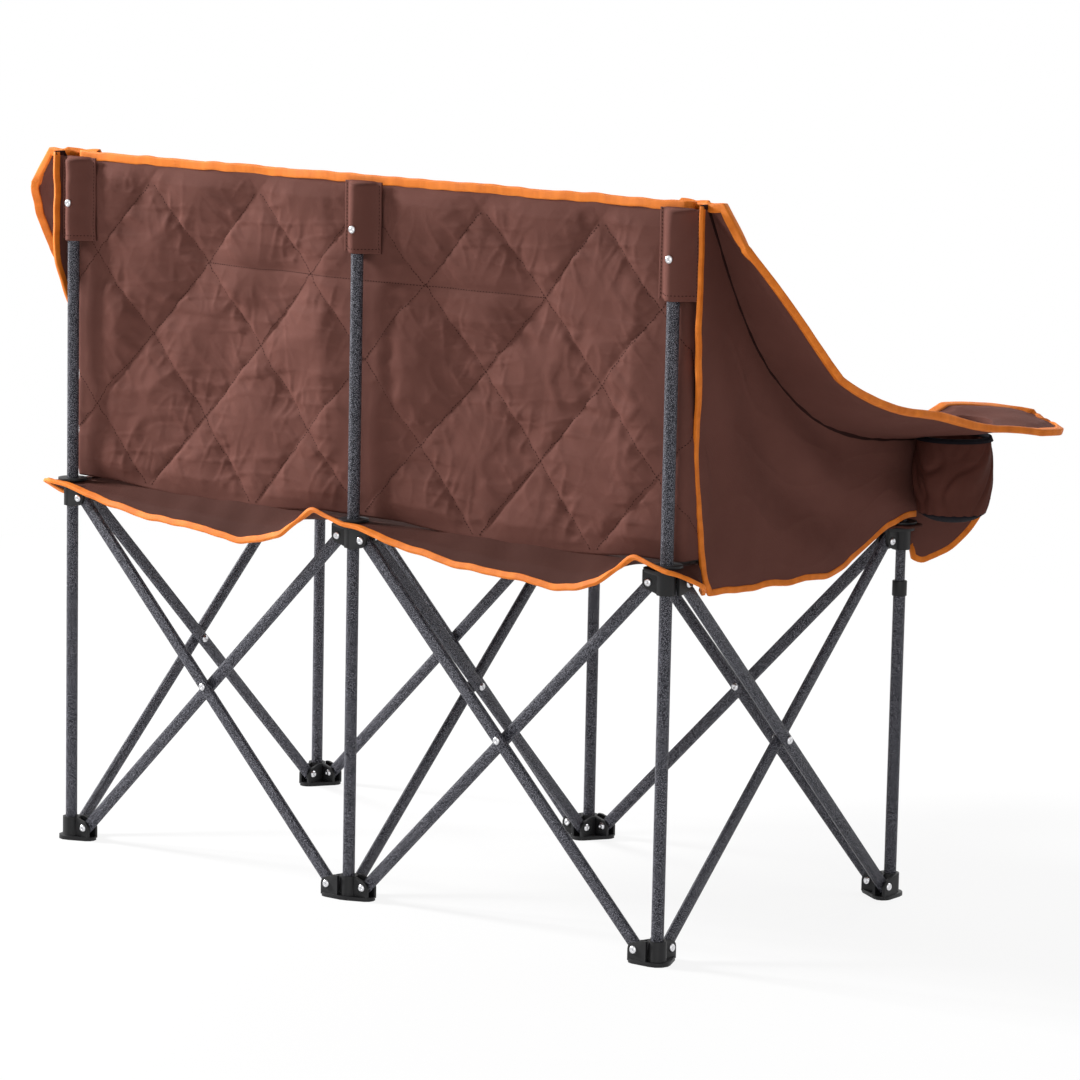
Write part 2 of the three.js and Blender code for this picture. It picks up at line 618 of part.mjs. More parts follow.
// Distance along the arm at a mesh step; the side panel below shares these steps.
function armStation(step) {
  if (step <= ARM_STEPS) {
    return mix(ARM_REAR_Y, SIDE_FRONT, step / ARM_STEPS);
  }
  return mix(SIDE_FRONT, -HALF_PITCH - ARM_FRONT, (step - ARM_STEPS) / ARM_NOSE_STEPS);
}

function armPad(side) {
  const steps = ARM_STEPS + ARM_NOSE_STEPS;
  const point = (s, t) => armPoint(side, armStation(Math.round(s * steps)), t);
  const thickness = (s, t) => armThickness(armStation(Math.round(s * steps)), t);
  const pad = toSolid(sheet(steps, ARM_ROWS, point, thickness));
  const holeRadius = CUP_RADIUS + 2 * CLEARANCE;
  const hole = rod(holeRadius, ARM_HEIGHT - CUP_DEPTH, ARM_HEIGHT + CUP_DEPTH, CUP_SIDES)
    .translate(side * (COLUMN_PITCH + CUP_OUT), -HALF_PITCH - CUP_FORWARD, 0);
  return toGeometry(cut(pad, [hole]));
}

// Height of the arm pad's underside over a spot, y along the seat and `out` beyond the column
// line. The station of the pad there lies ahead of y by the pad's sweep, found in a few passes.
function underArm(side, y, out) {
  let station = Math.min(y, ARM_REAR_Y);
  let across = 0;
  for (let pass = 0; pass < SWEEP_PASSES; pass += 1) {
    const inner = Math.abs(armPoint(side, station, 0).x);
    const outer = Math.abs(armPoint(side, station, 1).x);
    across = clamp01((COLUMN_PITCH + out - inner) / (outer - inner));
    station = Math.min(station + y - armPoint(side, station, across).y, ARM_REAR_Y);
  }
  const point = armPoint(side, station, across);
  const ahead = armPoint(side, station - PROBE, across);
  const beside = armPoint(side, station, across + PROBE_ACROSS);
  const slope = Math.hypot((point.z - ahead.z) / PROBE, (beside.z - point.z) / (beside.x - point.x));
  const half = armThickness(station, across) / 2;
  return point.z - half * Math.hypot(1, slope) - ARM_SEAM_GAP;
}

// Plain outer side, hung from the arm seam, with a drooping lower edge. Its upper rear
// edge wraps out past the sleeve to lie beside the pole.
function sidePanel(side) {
  const thickness = () => SIDE_CLOTH;
  const point = (s, t) => {
    const station = armStation(Math.round(s * ARM_STEPS));
    const wrap = (1 - s) ** SIDE_WRAP_POWER;
    const topOut = SIDE_OUT + SIDE_FLARE * wrap + SIDE_CLOTH / 2;
    const top = underArm(side, station + SIDE_WRAP * wrap, topOut);
    const droop = mix(SIDE_BOTTOM_REAR, SIDE_BOTTOM, smooth(2 * s));
    const bottom = mix(droop, SIDE_BOTTOM_FRONT, smooth((s - SIDE_RISE_START) / SIDE_RISE_RUN));
    const z = mix(bottom, top, t);
    const flare = wrap * smooth((z - SIDE_FLARE_BOTTOM) / SIDE_FLARE_RISE);
    const tuck = SIDE_REAR_TUCK * (1 - t) ** SIDE_TUCK_POWER * (1 - s) ** 2;
    const x = COLUMN_PITCH + SIDE_OUT + SIDE_FLARE * flare;
    return new THREE.Vector3(side * x, station + SIDE_WRAP * flare - tuck, z);
  };
  return sheet(ARM_STEPS, SIDE_ROWS, point, thickness);
}

// Padded inner side; ahead of the arm post it flares out as a rounded flap.
function sideLining(side) {
  const post = -HALF_PITCH - FLANGE_RADIUS - FLAP_GAP;
  const rear = ARM_REAR_Y - ARM_EDGE;
  const front = -HALF_PITCH - FLAP_FRONT;
  const point = (s, t) => {
    const step = Math.round(s * (LINING_STEPS + FLAP_STEPS));
    const y = step <= LINING_STEPS
      ? mix(rear, post, step / LINING_STEPS)
      : mix(post, front, (step - LINING_STEPS) / FLAP_STEPS);
    const ahead = Math.max(0, post - y) / (post - front);
    const out = FLAP_FLARE * Math.max(0, post - y) - LINING_IN;
    const top = underArm(side, y, out);
    const round = 1 - Math.sqrt(1 - Math.min(FLAP_ROUND, ahead) ** 2);
    const flapBottom = mix(LINING_BOTTOM, FLAP_BOTTOM, smooth(ahead * FLAP_DROP_RATE));
    const bottom = mix(flapBottom, mix(FLAP_BOTTOM, top, FLAP_CORNER), round);
    return new THREE.Vector3(side * (COLUMN_PITCH + out), y, mix(bottom, top - LINING_TOP_GAP, t));
  };
  const thickness = (s, t) => {
    const crown = Math.sin(Math.PI * s) * Math.sin(Math.PI * t);
    return mix(LINING_EDGE, LINING_PAD, Math.sqrt(Math.max(0, crown)));
  };
  return sheet(LINING_STEPS + FLAP_STEPS, LINING_ROWS, point, thickness);
}

function cupHolder() {
  const wall = [
    [0, 0], [CUP_BASE_RADIUS, 0], [CUP_RADIUS, CUP_DEPTH], [CUP_RADIUS - CUP_CLOTH, CUP_DEPTH],
    [CUP_BASE_RADIUS - CUP_CLOTH, CUP_CLOTH], [0, CUP_CLOTH],
  ];
  return new THREE.LatheGeometry(wall.map(([r, z]) => new THREE.Vector2(r, z)), CUP_SIDES)
    .rotateX(Math.PI / 2);
}

const sides = { left: 1, middle: 0, right: -1 };
const rows = { rear: 1, front: -1 };
const columns = {};
for (const [row, front] of Object.entries(rows)) {
  for (const [place, side] of Object.entries(sides)) {
    const name = `${row}_${place}`;
    const angles = [-front * Math.PI / 2];
    if (side < 1) {
      angles.push(0);
    }
    if (side > -1) {
      angles.push(Math.PI);
    }
    columns[name] = { x: side * COLUMN_PITCH, y: front * HALF_PITCH, angles };
    const group = new THREE.Group();
    group.position.set(columns[name].x, columns[name].y, 0);
    loveseat.add(group);
    add(`foot_${name}`, foot(angles, POLE_DIA), plastic, group);
    if (row === 'rear') {
      add(`pole_${name}`, tube(POLE_DIA, SOCKET_FLOOR, POLE_TOP), steel, group);
      add(`hub_${name}`, hub(angles, POLE_DIA / 2 + SLIDE_GAP), plastic, group);
      add(`sleeve_${place}`, sleeve(), sleeveCloth, group);
    } else {
      const postTop = side === 0 ? HUB_TOP + NECK_HEIGHT : POST_TOP;
      add(`leg_${name}`, tube(POLE_DIA, SOCKET_FLOOR, LEG_TOP), steel, group);
      add(`post_${name}`, tube(POST_DIA, POST_BOTTOM, postTop), steel, group);
      add(`hub_${name}`, hub(angles, POST_DIA / 2 + CLEARANCE), plastic, group);
      const profile = [
        [COLLAR_RADIUS, LEG_TOP + COLLAR_LIP - COLLAR_HEIGHT], [COLLAR_RADIUS, LEG_TOP + COLLAR_LIP],
        [POST_DIA / 2 + CLEARANCE, LEG_TOP + COLLAR_LIP], [POST_DIA / 2 + CLEARANCE, LEG_TOP + CLEARANCE],
        [POLE_DIA / 2 + CLEARANCE, LEG_TOP + CLEARANCE],
        [POLE_DIA / 2 + CLEARANCE, LEG_TOP + COLLAR_LIP - COLLAR_HEIGHT],
        [COLLAR_RADIUS, LEG_TOP + COLLAR_LIP - COLLAR_HEIGHT],
      ];
      const ring = new THREE.LatheGeometry(profile.map(([r, z]) => new THREE.Vector2(r, z)), ROUND_SIDES);
      add(`collar_${place}`, ring.rotateX(Math.PI / 2), plastic, group);
    }
  }
}

scissor('rear_left', columns.rear_left, columns.rear_middle);
scissor('rear_right', columns.rear_middle, columns.rear_right);
scissor('front_left', columns.front_left, columns.front_middle);
scissor('front_right', columns.front_middle, columns.front_right);
scissor('side_left', columns.rear_left, columns.front_left);
scissor('side_middle', columns.rear_middle, columns.front_middle);
scissor('side_right', columns.rear_right, columns.front_right);

add('back_panel', backPanel(), cloth);
add('seat_rear', seatHalf(1, SKIRT_OUT, SKIRT_DROP, SKIRT_FALLS, SEAT_CORNER_OUT), cloth);
add('seat_front', seatHalf(-1, LIP_OUT, LIP_DROP, LIP_FALLS, -LIP_SIDE_IN), cloth);
for (const [place, side] of [['left', 1], ['right', -1]]) {
  add(`side_panel_${place}`, sidePanel(side), cloth);
  add(`side_lining_${place}`, sideLining(side), cloth);
  add(`armrest_${place}`, armPad(side), cloth);
  const cup = add(`cup_holder_${place}`, cupHolder(), pouchCloth);
  cup.position.set(
    side * (COLUMN_PITCH + CUP_OUT),
    -HALF_PITCH - CUP_FORWARD,
    ARM_HEIGHT + ARM_PAD / 2 - CUP_DEPTH,
  );
}

// The origin lies on the floor under the middle of the outline.
const outline = new THREE.Box3().setFromObject(loveseat);
loveseat.position.y = -(outline.min.y + outline.max.y) / 2;

export default loveseat;
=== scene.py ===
"""Looks of the folding camping loveseat: cloth, bindings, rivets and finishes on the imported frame."""
import math

import bmesh
import bpy
import numpy as np
from mathutils import Matrix, Vector


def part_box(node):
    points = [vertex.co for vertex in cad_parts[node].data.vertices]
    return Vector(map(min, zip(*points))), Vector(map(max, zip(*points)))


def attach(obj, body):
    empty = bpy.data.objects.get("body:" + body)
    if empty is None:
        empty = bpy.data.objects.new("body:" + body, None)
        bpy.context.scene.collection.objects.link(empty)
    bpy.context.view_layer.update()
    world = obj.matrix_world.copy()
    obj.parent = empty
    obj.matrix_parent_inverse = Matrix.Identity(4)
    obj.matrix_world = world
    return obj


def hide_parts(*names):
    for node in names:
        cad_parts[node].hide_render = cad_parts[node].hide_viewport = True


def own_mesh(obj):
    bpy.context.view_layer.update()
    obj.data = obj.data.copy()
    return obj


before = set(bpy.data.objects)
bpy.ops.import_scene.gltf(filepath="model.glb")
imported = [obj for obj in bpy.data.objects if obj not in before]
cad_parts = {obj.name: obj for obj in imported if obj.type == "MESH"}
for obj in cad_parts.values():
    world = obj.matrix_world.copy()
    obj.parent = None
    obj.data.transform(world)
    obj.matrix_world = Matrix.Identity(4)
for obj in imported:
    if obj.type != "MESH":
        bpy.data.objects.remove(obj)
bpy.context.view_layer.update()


def middle(node):
    low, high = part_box(node)
    return (low + high) / 2


# Lengths are in metres
SEAT_BELOW_HUB = 0.005

# Places taken from the frame
PITCH = middle("pole_rear_left").x
REAR = middle("pole_rear_middle").y
FRONT = middle("leg_front_middle").y
CENTRE = (REAR + FRONT) / 2
HALF = (REAR - FRONT) / 2
POLE_RADIUS = (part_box("pole_rear_middle")[1].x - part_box("pole_rear_middle")[0].x) / 2
POLE_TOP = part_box("pole_rear_middle")[1].z
HUB_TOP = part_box("hub_rear_middle")[1].z
SEAT_Z = HUB_TOP - SEAT_BELOW_HUB
BACK_LOW, BACK_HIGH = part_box("back_panel")
CUP_LOW, CUP_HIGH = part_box("cup_holder_left")
CUP_X = (CUP_LOW.x + CUP_HIGH.x) / 2
CUP_Y = (CUP_LOW.y + CUP_HIGH.y) / 2
SIDES = {"left": 1, "right": -1}
COLUMNS = {"left": 1, "middle": 0, "right": -1}

# Unevenness
RIPPLE_WAVES = 7
RIPPLE_SPREAD = (0.7, 1.5)  # of the wavelengths
RIPPLE_LEVEL = 4
CREASE_NARROW = 2.4
CREASE_POWER = 1.5

# Quilting
QUILT_PITCH = 0.094  # width of half a diamond
QUILT_ROWS = 4
QUILT_TOP_BAND = 0.031  # back above the top row of diamonds
QUILT_HEAD_ROW = 3  # row with a seam straight across it
QUILT_HEAD_REACH = 3  # half diamonds each way
QUILT_SEAM = 0.004
QUILT_PUFF = 0.020
QUILT_PUFF_AT_POLE = 0.010
QUILT_ROUND = 0.56  # power: below 1, a diamond is full close to its seams
QUILT_WARP = 0.035  # unevenness of the lattice, in half diamonds
SEAT_QUILT_COLUMNS = 12
SEAT_QUILT_ROWS = 2
PUCKER = 0.0022
PUCKER_FADE = 4.5
PUCKER_AT_POLE = 0.25  # share of the puckers that a pole leaves
PUCKER_START = 2.5  # how soon puckers show beside a seam
WRINKLE = 0.0024
WRINKLE_PITCH = 0.026
SEAM_FADE = 5.0
SEAM_WIDTH = 0.016
SIDE_FADE = 40  # how soon padding rises from a side edge
FOOT_FADE = 18  # and from a lower edge
TOP_EASE = 0.020

# Back
BACK_GRID = (450, 180)
BACK_BOW = 0.016
BACK_FACE_GAP = 0.010
BACK_TUCK = 0.010
BACK_TUCK_POWER = 6
BACK_TURN_RADIUS = 0.0085
BACK_TURN_OUT = 0.0078
BACK_WRAP = 0.070  # sides turned forward, at the foot and at the top
BACK_WRAP_TOP = 0.003
BACK_WRAP_START = 0.05  # shares of the height
BACK_WRAP_RUN = 0.7
BACK_UNEVEN = 0.0034
BACK_CREASE = 0.0018
POLE_CLEAR = 0.016  # padding held flat beside a pole
POLE_EASE = 0.050

# Seat
SEAT_GRID = (288, 150)
SEAT_CLOTH = 0.0032
SEAT_PUFF = 0.012
SEAT_SAG_ACROSS = 0.024
SEAT_SAG_DEEP = 0.012
SAG_POWER = 2.2
SEAT_FLAT = 0.068  # cloth held flat about a column
SEAT_SIDE = 0.007
SEAT_CORNER = 0.024
SEAT_HOLE_RADIUS = 0.012
SEAT_HOLE_DEPTH = 0.03
SEAT_NOTCH = 0.005
SEAT_UNEVEN = 0.0016
SEAT_PAD_FADE = 6
SEAT_EDGE_ROW = 0.85  # share of the overhang
TAB_FOLD = 0.012  # rear corners, which turn down beside the side panels
TAB_OUT = 0.042
TAB_MEET = 0.006
TAB_ROLL = 0.010
TAB_DROP = 0.040
TAB_TUCK = 0.012
TAB_TUCK_POWER = 12
TAB_AHEAD = 0.044
SKIRT_OUT = 0.024
SKIRT_DROP = 0.038
SKIRT_FALLS = (0.5, 0.8, 1)  # share of the drop at the last three rows
SKIRT_UNEVEN = 0.003
SKIRT_EASE = 0.013  # share of a bay
SKIRT_AT = (0, 0.05, 0.20, 0.35, 0.50, 0.66, 0.73, 0.80, 0.86, 0.90, 0.95, 1)
SKIRT_HANG = (0, 0.04, 0.52, 0.80, 0.95, 1.06, 1.02, 0.66, 0.06, -0.42, -0.20, 0)
LIP_OUT = 0.042
LIP_DROP = 0.044
LIP_FALLS = (0, 0.2, 1)
LIP_SIDE = -0.040

# Side panels
SIDE_GRID = (180, 120)
SIDE_CLOTH = 0.003
SIDE_OUT = 0.0111
SIDE_BOTTOM = 0.443
SIDE_BOTTOM_REAR = 0.449
SIDE_BOTTOM_FRONT = 0.500
SIDE_RISE_START = 0.56  # shares of the lower edge
SIDE_RISE_RUN = 0.42
SIDE_REAR_TUCK = 0.032
SIDE_FLARE = 0.026  # upper rear edge drawn outward, past its sleeve
SIDE_WRAP = 0.028  # and drawn back, beside its pole
SIDE_WRAP_POWER = 6
SIDE_FLARE_BOTTOM = 0.620
SIDE_FLARE_RISE = 0.200
SIDE_CORNER = 0.010
SIDE_TOP_IN = 0.0025
SIDE_WANDER = 0.0045  # of the rear tape
SIDE_HEM_WAVE = 0.0022
SIDE_DRAPE = 0.0078
SIDE_CREASE = 0.0007

# Linings and their front flaps
LINING_GRID = (170, 60)
LINING_IN = 0.014
LINING_PAD = 0.010
LINING_EDGE = 0.004
LINING_BOTTOM = 0.498
LINING_DRAPE = 0.0014
FLAP_START = 0.026
FLAP_FRONT = 0.132
FLAP_BOTTOM = 0.432
FLAP_SLOPE = 0.012
FLAP_FLARE = 0.62  # outward, as a share of the way ahead
FLAP_LEAN = 0.019
FLAP_STEP = 9  # steepness of its drop
FLAP_ROUND = 0.96
FLAP_CORNER = 0.6  # share of the flap's height
FLAP_TAPE_START = 0.75  # share of the drop

# Cup holders
CUP_SIDES = 120
CUP_CLOTH = 0.0018
CUP_TAPER = 0.004
CUP_BULGE = 0.0070
CUP_HEM = 0.006
CUP_HEM_FLARE = 0.0024
CUP_PROUD = 0.0009
CUP_BASE = 0.012
CUP_CREASE = 0.0040
CUP_CLEARANCE = 0.0006
CUP_HOLE_DEPTH = 0.1
CUP_HOLE_SIDES = 48

# Arms
ARM_GRID = (240, 48)
ARM_HEIGHT = 0.604
BACK_TOP = 0.930
ARM_SWEEP_POWER = 2.6
ARM_INNER_IN = 0.016
ARM_WIDTH_REAR = 0.076
ARM_WIDTH_FRONT = 0.158
ARM_WIDTH_POWER = 8.4
ARM_EDGE = 0.005
ARM_PAD = 0.013
ARM_CROWN = 0.7
ARM_REAR_TAPER = 0.060
ARM_REAR_GAP = 0.012
ARM_SWEEP_BACK = 0.046
ARM_CURL = 3
ARM_LIFT = 0.040
ARM_LIFT_PHASE = 0.2  # share of half a wave
ARM_LIFT_END = 0.67
ARM_FRONT = 0.180
ARM_NOSE = 0.096
ARM_NOSE_OUT = 0.028
ARM_NOSE_RISE = 0.032
ARM_NOSE_TILT = 0.044
ARM_NOSE_DIP = 0.007
ARM_NOSE_ROUND = 0.990
ARM_UNEVEN = 0.0018
ARM_EDGE_WAVE = 0.0026
ARM_PUCKER = 0.0014
ARM_PRESSED = 0.0125
ARM_PRESS_EASE = 0.016
ARM_INNER_BOUND = 0.30  # taped share of the inner edge
ARM_INNER_TAPE = 1.25
ARM_TAPE_CLOTH = 0.0021
# Width of the dark strip under each arm pad, a painted shade line
ARM_SEAM_SHADE = 0.0065
PROBE = 0.002  # step at which the slope of an arm is taken, along it
PROBE_ACROSS = 0.02  # and across it, as a share of its width
SWEEP_PASSES = 3
POST_DIA = 0.013
BACK_Y = HALF - POLE_RADIUS - BACK_FACE_GAP
ARM_REAR = BACK_Y - ARM_REAR_GAP
SIDE_FRONT = -HALF - POST_DIA

# Sewing
BINDING_WIDTH = 0.0115
HEM_WIDTH = 0.0085
BINDING_CLOTH = 0.0011
TAPE_UNEVEN = 0.0012
TAPE_UNEVEN_PITCH = 0.045
TAPE_SQUARE = 0.36  # power: a smaller one makes the strip's section squarer
EDGE_CELLS = 6  # cells
EDGE_EASE = 3
STITCH_LENGTH = 0.0032
STITCH_PITCH = 0.0046
STITCH_RADIUS = 0.00060

# Sleeves and fasteners
SLEEVE_GRID = (60, 48)
SLEEVE_HALF_WIDTH = 0.030
SLEEVE_HEIGHT = 0.098
CORNER_SLEEVE_HEIGHT = 0.118
SLEEVE_HUMP_HALF = 0.025
SLEEVE_CLOTH = 0.002
SLEEVE_PROUD = 0.0018
SLEEVE_CLEAR = 0.0008  # above the pole's end
SLEEVE_FLUTTER = 0.0007
SLEEVE_COVERED = 0.7  # share of the top tape
SLEEVE_RIVET_DROP = 0.068
SLEEVE_HEM = 3  # cells
RIVET_RADIUS = 0.0052
RIVET_HEIGHT = 0.0030
RIVET_SUNK = 0.0004
PIVOT_REACH = 0.025
PIVOT_RISE = 0.017
HUB_PIVOT = 0.470
BRACE_OFFSET = 0.006
EAR_FACE = 0.0095
CROSSING_FACE = 0.0110
MOULD_BEVEL = 0.0007
BEVEL_ANGLE = 50  # degrees
SPLIT_ANGLE = 40
WELD = 0.00001

# Camera fitted to the photograph
CAMERA = Vector((-3.6826, 4.4700 + CENTRE, 1.3591))
CAMERA_AZIMUTH = 218.68  # degrees
CAMERA_PITCH = 9.015
CAMERA_ROLL = 1.174
FOCAL_PIXELS = 4455.3
PHOTO_PIXELS = 1080
SENSOR = 36.0  # millimetres
CAMERA_FAR = 60

# Light
LAMPS = {  # place, size and power
    "key": ((3.9, 1.40, 2.6), 0.9, 365),
    "fill": ((-3.0, 3.4, 1.6), 2.5, 28),
    "front": ((0, -2.8, 3.4), 3.0, 70),
}
LAMP_TARGET = Vector((0, CENTRE, 0.5))
WORLD_LIGHT = 0.24
FLOOR_HALF = 30
# Share of plain white in the floor: nearer than the first distance it keeps some shadow
FLOOR_WHITE = (("From Min", 1.2), ("From Max", 2.8), ("To Min", 0.88), ("To Max", 1.0))


def smooth(value):
    t = np.clip(value, 0, 1)
    return t * t * (3 - 2 * t)


def mix(a, b, t):
    return a + (b - a) * t


def arch(share):
    """0 at both ends of a span and 1 in its middle."""
    return np.sin(math.pi * share)


def ripple(x, y, wavelength, seed):
    """Smooth, repeatable unevenness from -1 to 1 with about this wavelength."""
    rng = np.random.default_rng(seed)
    total = np.zeros_like(x)
    for _ in range(RIPPLE_WAVES):
        turn = rng.uniform(0, 2 * math.pi)
        rate = 2 * math.pi / (wavelength * rng.uniform(*RIPPLE_SPREAD))
        along = x * math.cos(turn) + y * math.sin(turn)
        total += np.sin(rate * along + rng.uniform(0, 2 * math.pi))
    return total / RIPPLE_LEVEL


# Materials

def new_material(name, colour, roughness, specular=0.5, metallic=0.0):
    made = bpy.data.materials.new(name)
    made.use_nodes = True
    shader = made.node_tree.nodes["Principled BSDF"]
    shader.inputs["Base Color"].default_value = (*colour, 1)
    shader.inputs["Roughness"].default_value = roughness
    shader.inputs["Specular IOR Level"].default_value = specular
    shader.inputs["Metallic"].default_value = metallic
    return made, made.node_tree, shader


def texture(tree, kind, coordinates, **values):
    node = tree.nodes.new(f"ShaderNodeTex{kind}")
    tree.links.new(coordinates, node.inputs["Vector"])
    for key, value in values.items():
        node.inputs[key].default_value = value
    return node


def tint(tree, shader, value, stops):
    """Base colour from a value, through a ramp of colours."""
    node = tree.nodes.new("ShaderNodeValToRGB")
    while len(node.color_ramp.elements) < len(stops):
        node.color_ramp.elements.new(0.5)
    for element, (place, colour) in zip(node.color_ramp.elements, stops):
        element.position = place
        element.color = (*colour, 1)
    tree.links.new(value, node.inputs["Fac"])
    tree.links.new(node.outputs["Color"], shader.inputs["Base Color"])


def bump(tree, shader, height, strength, distance):
    node = tree.nodes.new("ShaderNodeBump")
    node.inputs["Strength"].default_value = strength
    node.inputs["Distance"].default_value = distance
    tree.links.new(height, node.inputs["Height"])
    tree.links.new(node.outputs["Normal"], shader.inputs["Normal"])


def combine(tree, operation, first, second):
    node = tree.nodes.new("ShaderNodeMath")
    node.operation = operation
    tree.links.new(first, node.inputs[0])
    tree.links.new(second, node.inputs[1])
    return node.outputs["Value"]


def object_coordinates(tree):
    return tree.nodes.new("ShaderNodeTexCoord").outputs["Object"]


def hammered_steel():
    """Silver-vein paint: pale dimples with dark veins between them."""
    made, tree, shader = new_material("hammered_steel", (0.08, 0.08, 0.09), 0.38, 0.2)
    place = object_coordinates(tree)
    cells = texture(tree, "Voronoi", place, Scale=1050)
    tint(tree, shader, cells.outputs["Distance"], [
        (0.14, (0.56, 0.56, 0.64)), (0.33, (0.140, 0.140, 0.166)), (0.50, (0.014, 0.014, 0.020)),
    ])
    bump(tree, shader, cells.outputs["Distance"], 0.7, 0.0006)
    return made


def moulded_plastic():
    made, tree, shader = new_material("moulded_plastic", (0.008, 0.008, 0.009), 0.5, 0.3)
    place = object_coordinates(tree)
    grain = texture(tree, "Noise", place, Scale=1400, Detail=2)
    tint(tree, shader, grain.outputs["Fac"], [(0.3, (0.005, 0.005, 0.006)), (0.7, (0.012, 0.012, 0.013))])
    bump(tree, shader, grain.outputs["Fac"], 0.2, 0.0002)
    return made


def zinc():
    made, tree, shader = new_material("zinc", (0.72, 0.72, 0.74), 0.28, metallic=1.0)
    place = object_coordinates(tree)
    grain = texture(tree, "Noise", place, Scale=900, Detail=3)
    tint(tree, shader, grain.outputs["Fac"], [(0.3, (0.58, 0.58, 0.60)), (0.7, (0.80, 0.80, 0.82))])
    return made


def woven_cloth(name, dark, light, thread_rate):
    """Plain-weave polyester: blotchy dye and crossing threads."""
    made, tree, shader = new_material(name, light, 0.72, 0.04)
    place = object_coordinates(tree)
    blotch = texture(tree, "Noise", place, Scale=9, Detail=6, Roughness=0.62)
    tint(tree, shader, blotch.outputs["Fac"], [(0.28, dark), (0.72, light)])
    threads = texture(tree, "Wave", place, Scale=thread_rate, Distortion=1.2, Detail=2)
    crossing = texture(tree, "Wave", place, Scale=thread_rate, Distortion=1.2, Detail=2)
    crossing.bands_direction = "Z"
    weave = combine(tree, "ADD", threads.outputs["Fac"], crossing.outputs["Fac"])
    bump(tree, shader, weave, 0.25, 0.0004)
    return made


def binding_tape():
    """Orange tape with ribs across it and uneven dye, from the strip's own UVs."""
    made, tree, shader = new_material("binding_tape", (0.80, 0.21, 0.02), 0.65, 0.25)
    uv = tree.nodes.new("ShaderNodeUVMap").outputs["UV"]
    ribs = texture(tree, "Wave", uv, Scale=190, Distortion=0.3)
    wear = texture(tree, "Noise", uv, Scale=60, Detail=4)
    tint(tree, shader, wear.outputs["Fac"], [(0.3, (0.70, 0.165, 0.012)), (0.7, (0.90, 0.245, 0.024))])
    bump(tree, shader, ribs.outputs["Fac"], 0.3, 0.0005)
    return made


STEEL = hammered_steel()
PLASTIC = moulded_plastic()
ZINC = zinc()
BROWN = woven_cloth("brown_cloth", (0.130, 0.052, 0.041), (0.158, 0.064, 0.051), 900)
# Painted shade: the seat's cloth is the brown cloth made darker, standing in for the shade on its hanging
# skirt
SHADED_SEAT_BROWN = woven_cloth("seat_cloth_painted_shade", (0.068, 0.027, 0.021), (0.084, 0.034, 0.027), 900)
POUCH = woven_cloth("pouch_cloth", (0.072, 0.024, 0.018), (0.115, 0.042, 0.032), 700)
BLACK_CLOTH = woven_cloth("black_cloth", (0.008, 0.007, 0.009), (0.016, 0.014, 0.018), 800)
# Dark thread for the stitching; the same colour paints the shade line under each arm pad
THREAD_AND_SEAM_SHADE = woven_cloth("dark_thread_and_seam_shade", (0.020, 0.007, 0.006), (0.034, 0.012, 0.010), 1600)
TAPE = binding_tape()


# Meshes

def placed(name, data):
    made = bpy.data.objects.new(name, data)
    bpy.context.scene.collection.objects.link(made)
    return made


def mesh_piece(name, verts, faces, material, uvs=None):
    data = bpy.data.meshes.new(name)
    data.from_pydata([tuple(v) for v in verts], [], faces)
    data.polygons.foreach_set("use_smooth", [True] * len(data.polygons))
    if uvs is not None:
        layer = data.uv_layers.new(name="UVMap")
        for loop in data.loops:
            layer.data[loop.index].uv = uvs[loop.vertex_index]
    data.materials.append(material)
    return placed(name, data)


def surface(columns, rows, point):
    s, t = np.meshgrid(np.linspace(0, 1, columns + 1), np.linspace(0, 1, rows + 1))
    return s, t, np.stack(point(s, t), axis=-1)


def normals(grid):
    across = np.gradient(grid, axis=1)
    along = np.gradient(grid, axis=0)
    out = np.cross(across, along)
    return out / np.maximum(np.linalg.norm(out, axis=-1, keepdims=True), 1e-12)


def cloth_solid(name, grid, half, material):
    """A closed pad about a grid of points, with this half thickness at each point."""
    rows, columns = grid.shape[:2]
    up = normals(grid)
    verts = np.concatenate([
        (grid + up * half[..., None]).reshape(-1, 3), (grid - up * half[..., None]).reshape(-1, 3),
    ])
    count = rows * columns
    index = np.arange(count).reshape(rows, columns)
    quads = np.stack([index[:-1, :-1], index[:-1, 1:], index[1:, 1:], index[1:, :-1]], -1).reshape(-1, 4)
    rim = np.concatenate([index[0, :-1], index[:-1, -1], index[-1, :0:-1], index[:0:-1, 0]])
    after = np.roll(rim, -1)
    walls = np.stack([after, rim, rim + count, after + count], -1)
    faces = np.concatenate([quads, quads[:, ::-1] + count, walls])
    return outward(mesh_piece(name, verts, faces.tolist(), material))


def outward(piece, welded=False):
    """Turns a piece's faces outward, once its doubled points are joined where it has any."""
    shape = bmesh.new()
    shape.from_mesh(piece.data)
    if welded:
        bmesh.ops.remove_doubles(shape, verts=shape.verts, dist=1e-6)
        bmesh.ops.dissolve_degenerate(shape, dist=1e-7, edges=shape.edges)
    bmesh.ops.recalc_face_normals(shape, faces=shape.faces)
    shape.to_mesh(piece.data)
    shape.free()
    return piece


def edge_path(grid, half, cells):
    """Edge points of a grid with their way in, square to the edge, normal and half thickness."""
    rows, columns = grid.shape[:2]
    up = normals(grid)
    points = np.array([grid[j, i] for j, i in cells])
    tangents = np.gradient(points, axis=0)
    squares = []
    for (j, i), point, tangent in zip(cells, points, tangents):
        row = np.clip(j, EDGE_CELLS, rows - 1 - EDGE_CELLS)
        column = np.clip(i, EDGE_CELLS, columns - 1 - EDGE_CELLS)
        inward = grid[row, column] - point
        square = np.cross(up[j, i], tangent)
        squares.append(square * np.sign(square @ inward) / max(np.linalg.norm(square), 1e-9))
    path = []
    for k, (j, i) in enumerate(cells):
        eased = np.mean(squares[max(0, k - EDGE_EASE):k + EDGE_EASE + 1], axis=0)
        path.append((points[k], eased / max(np.linalg.norm(eased), 1e-9), up[j, i], half[j, i]))
    return path


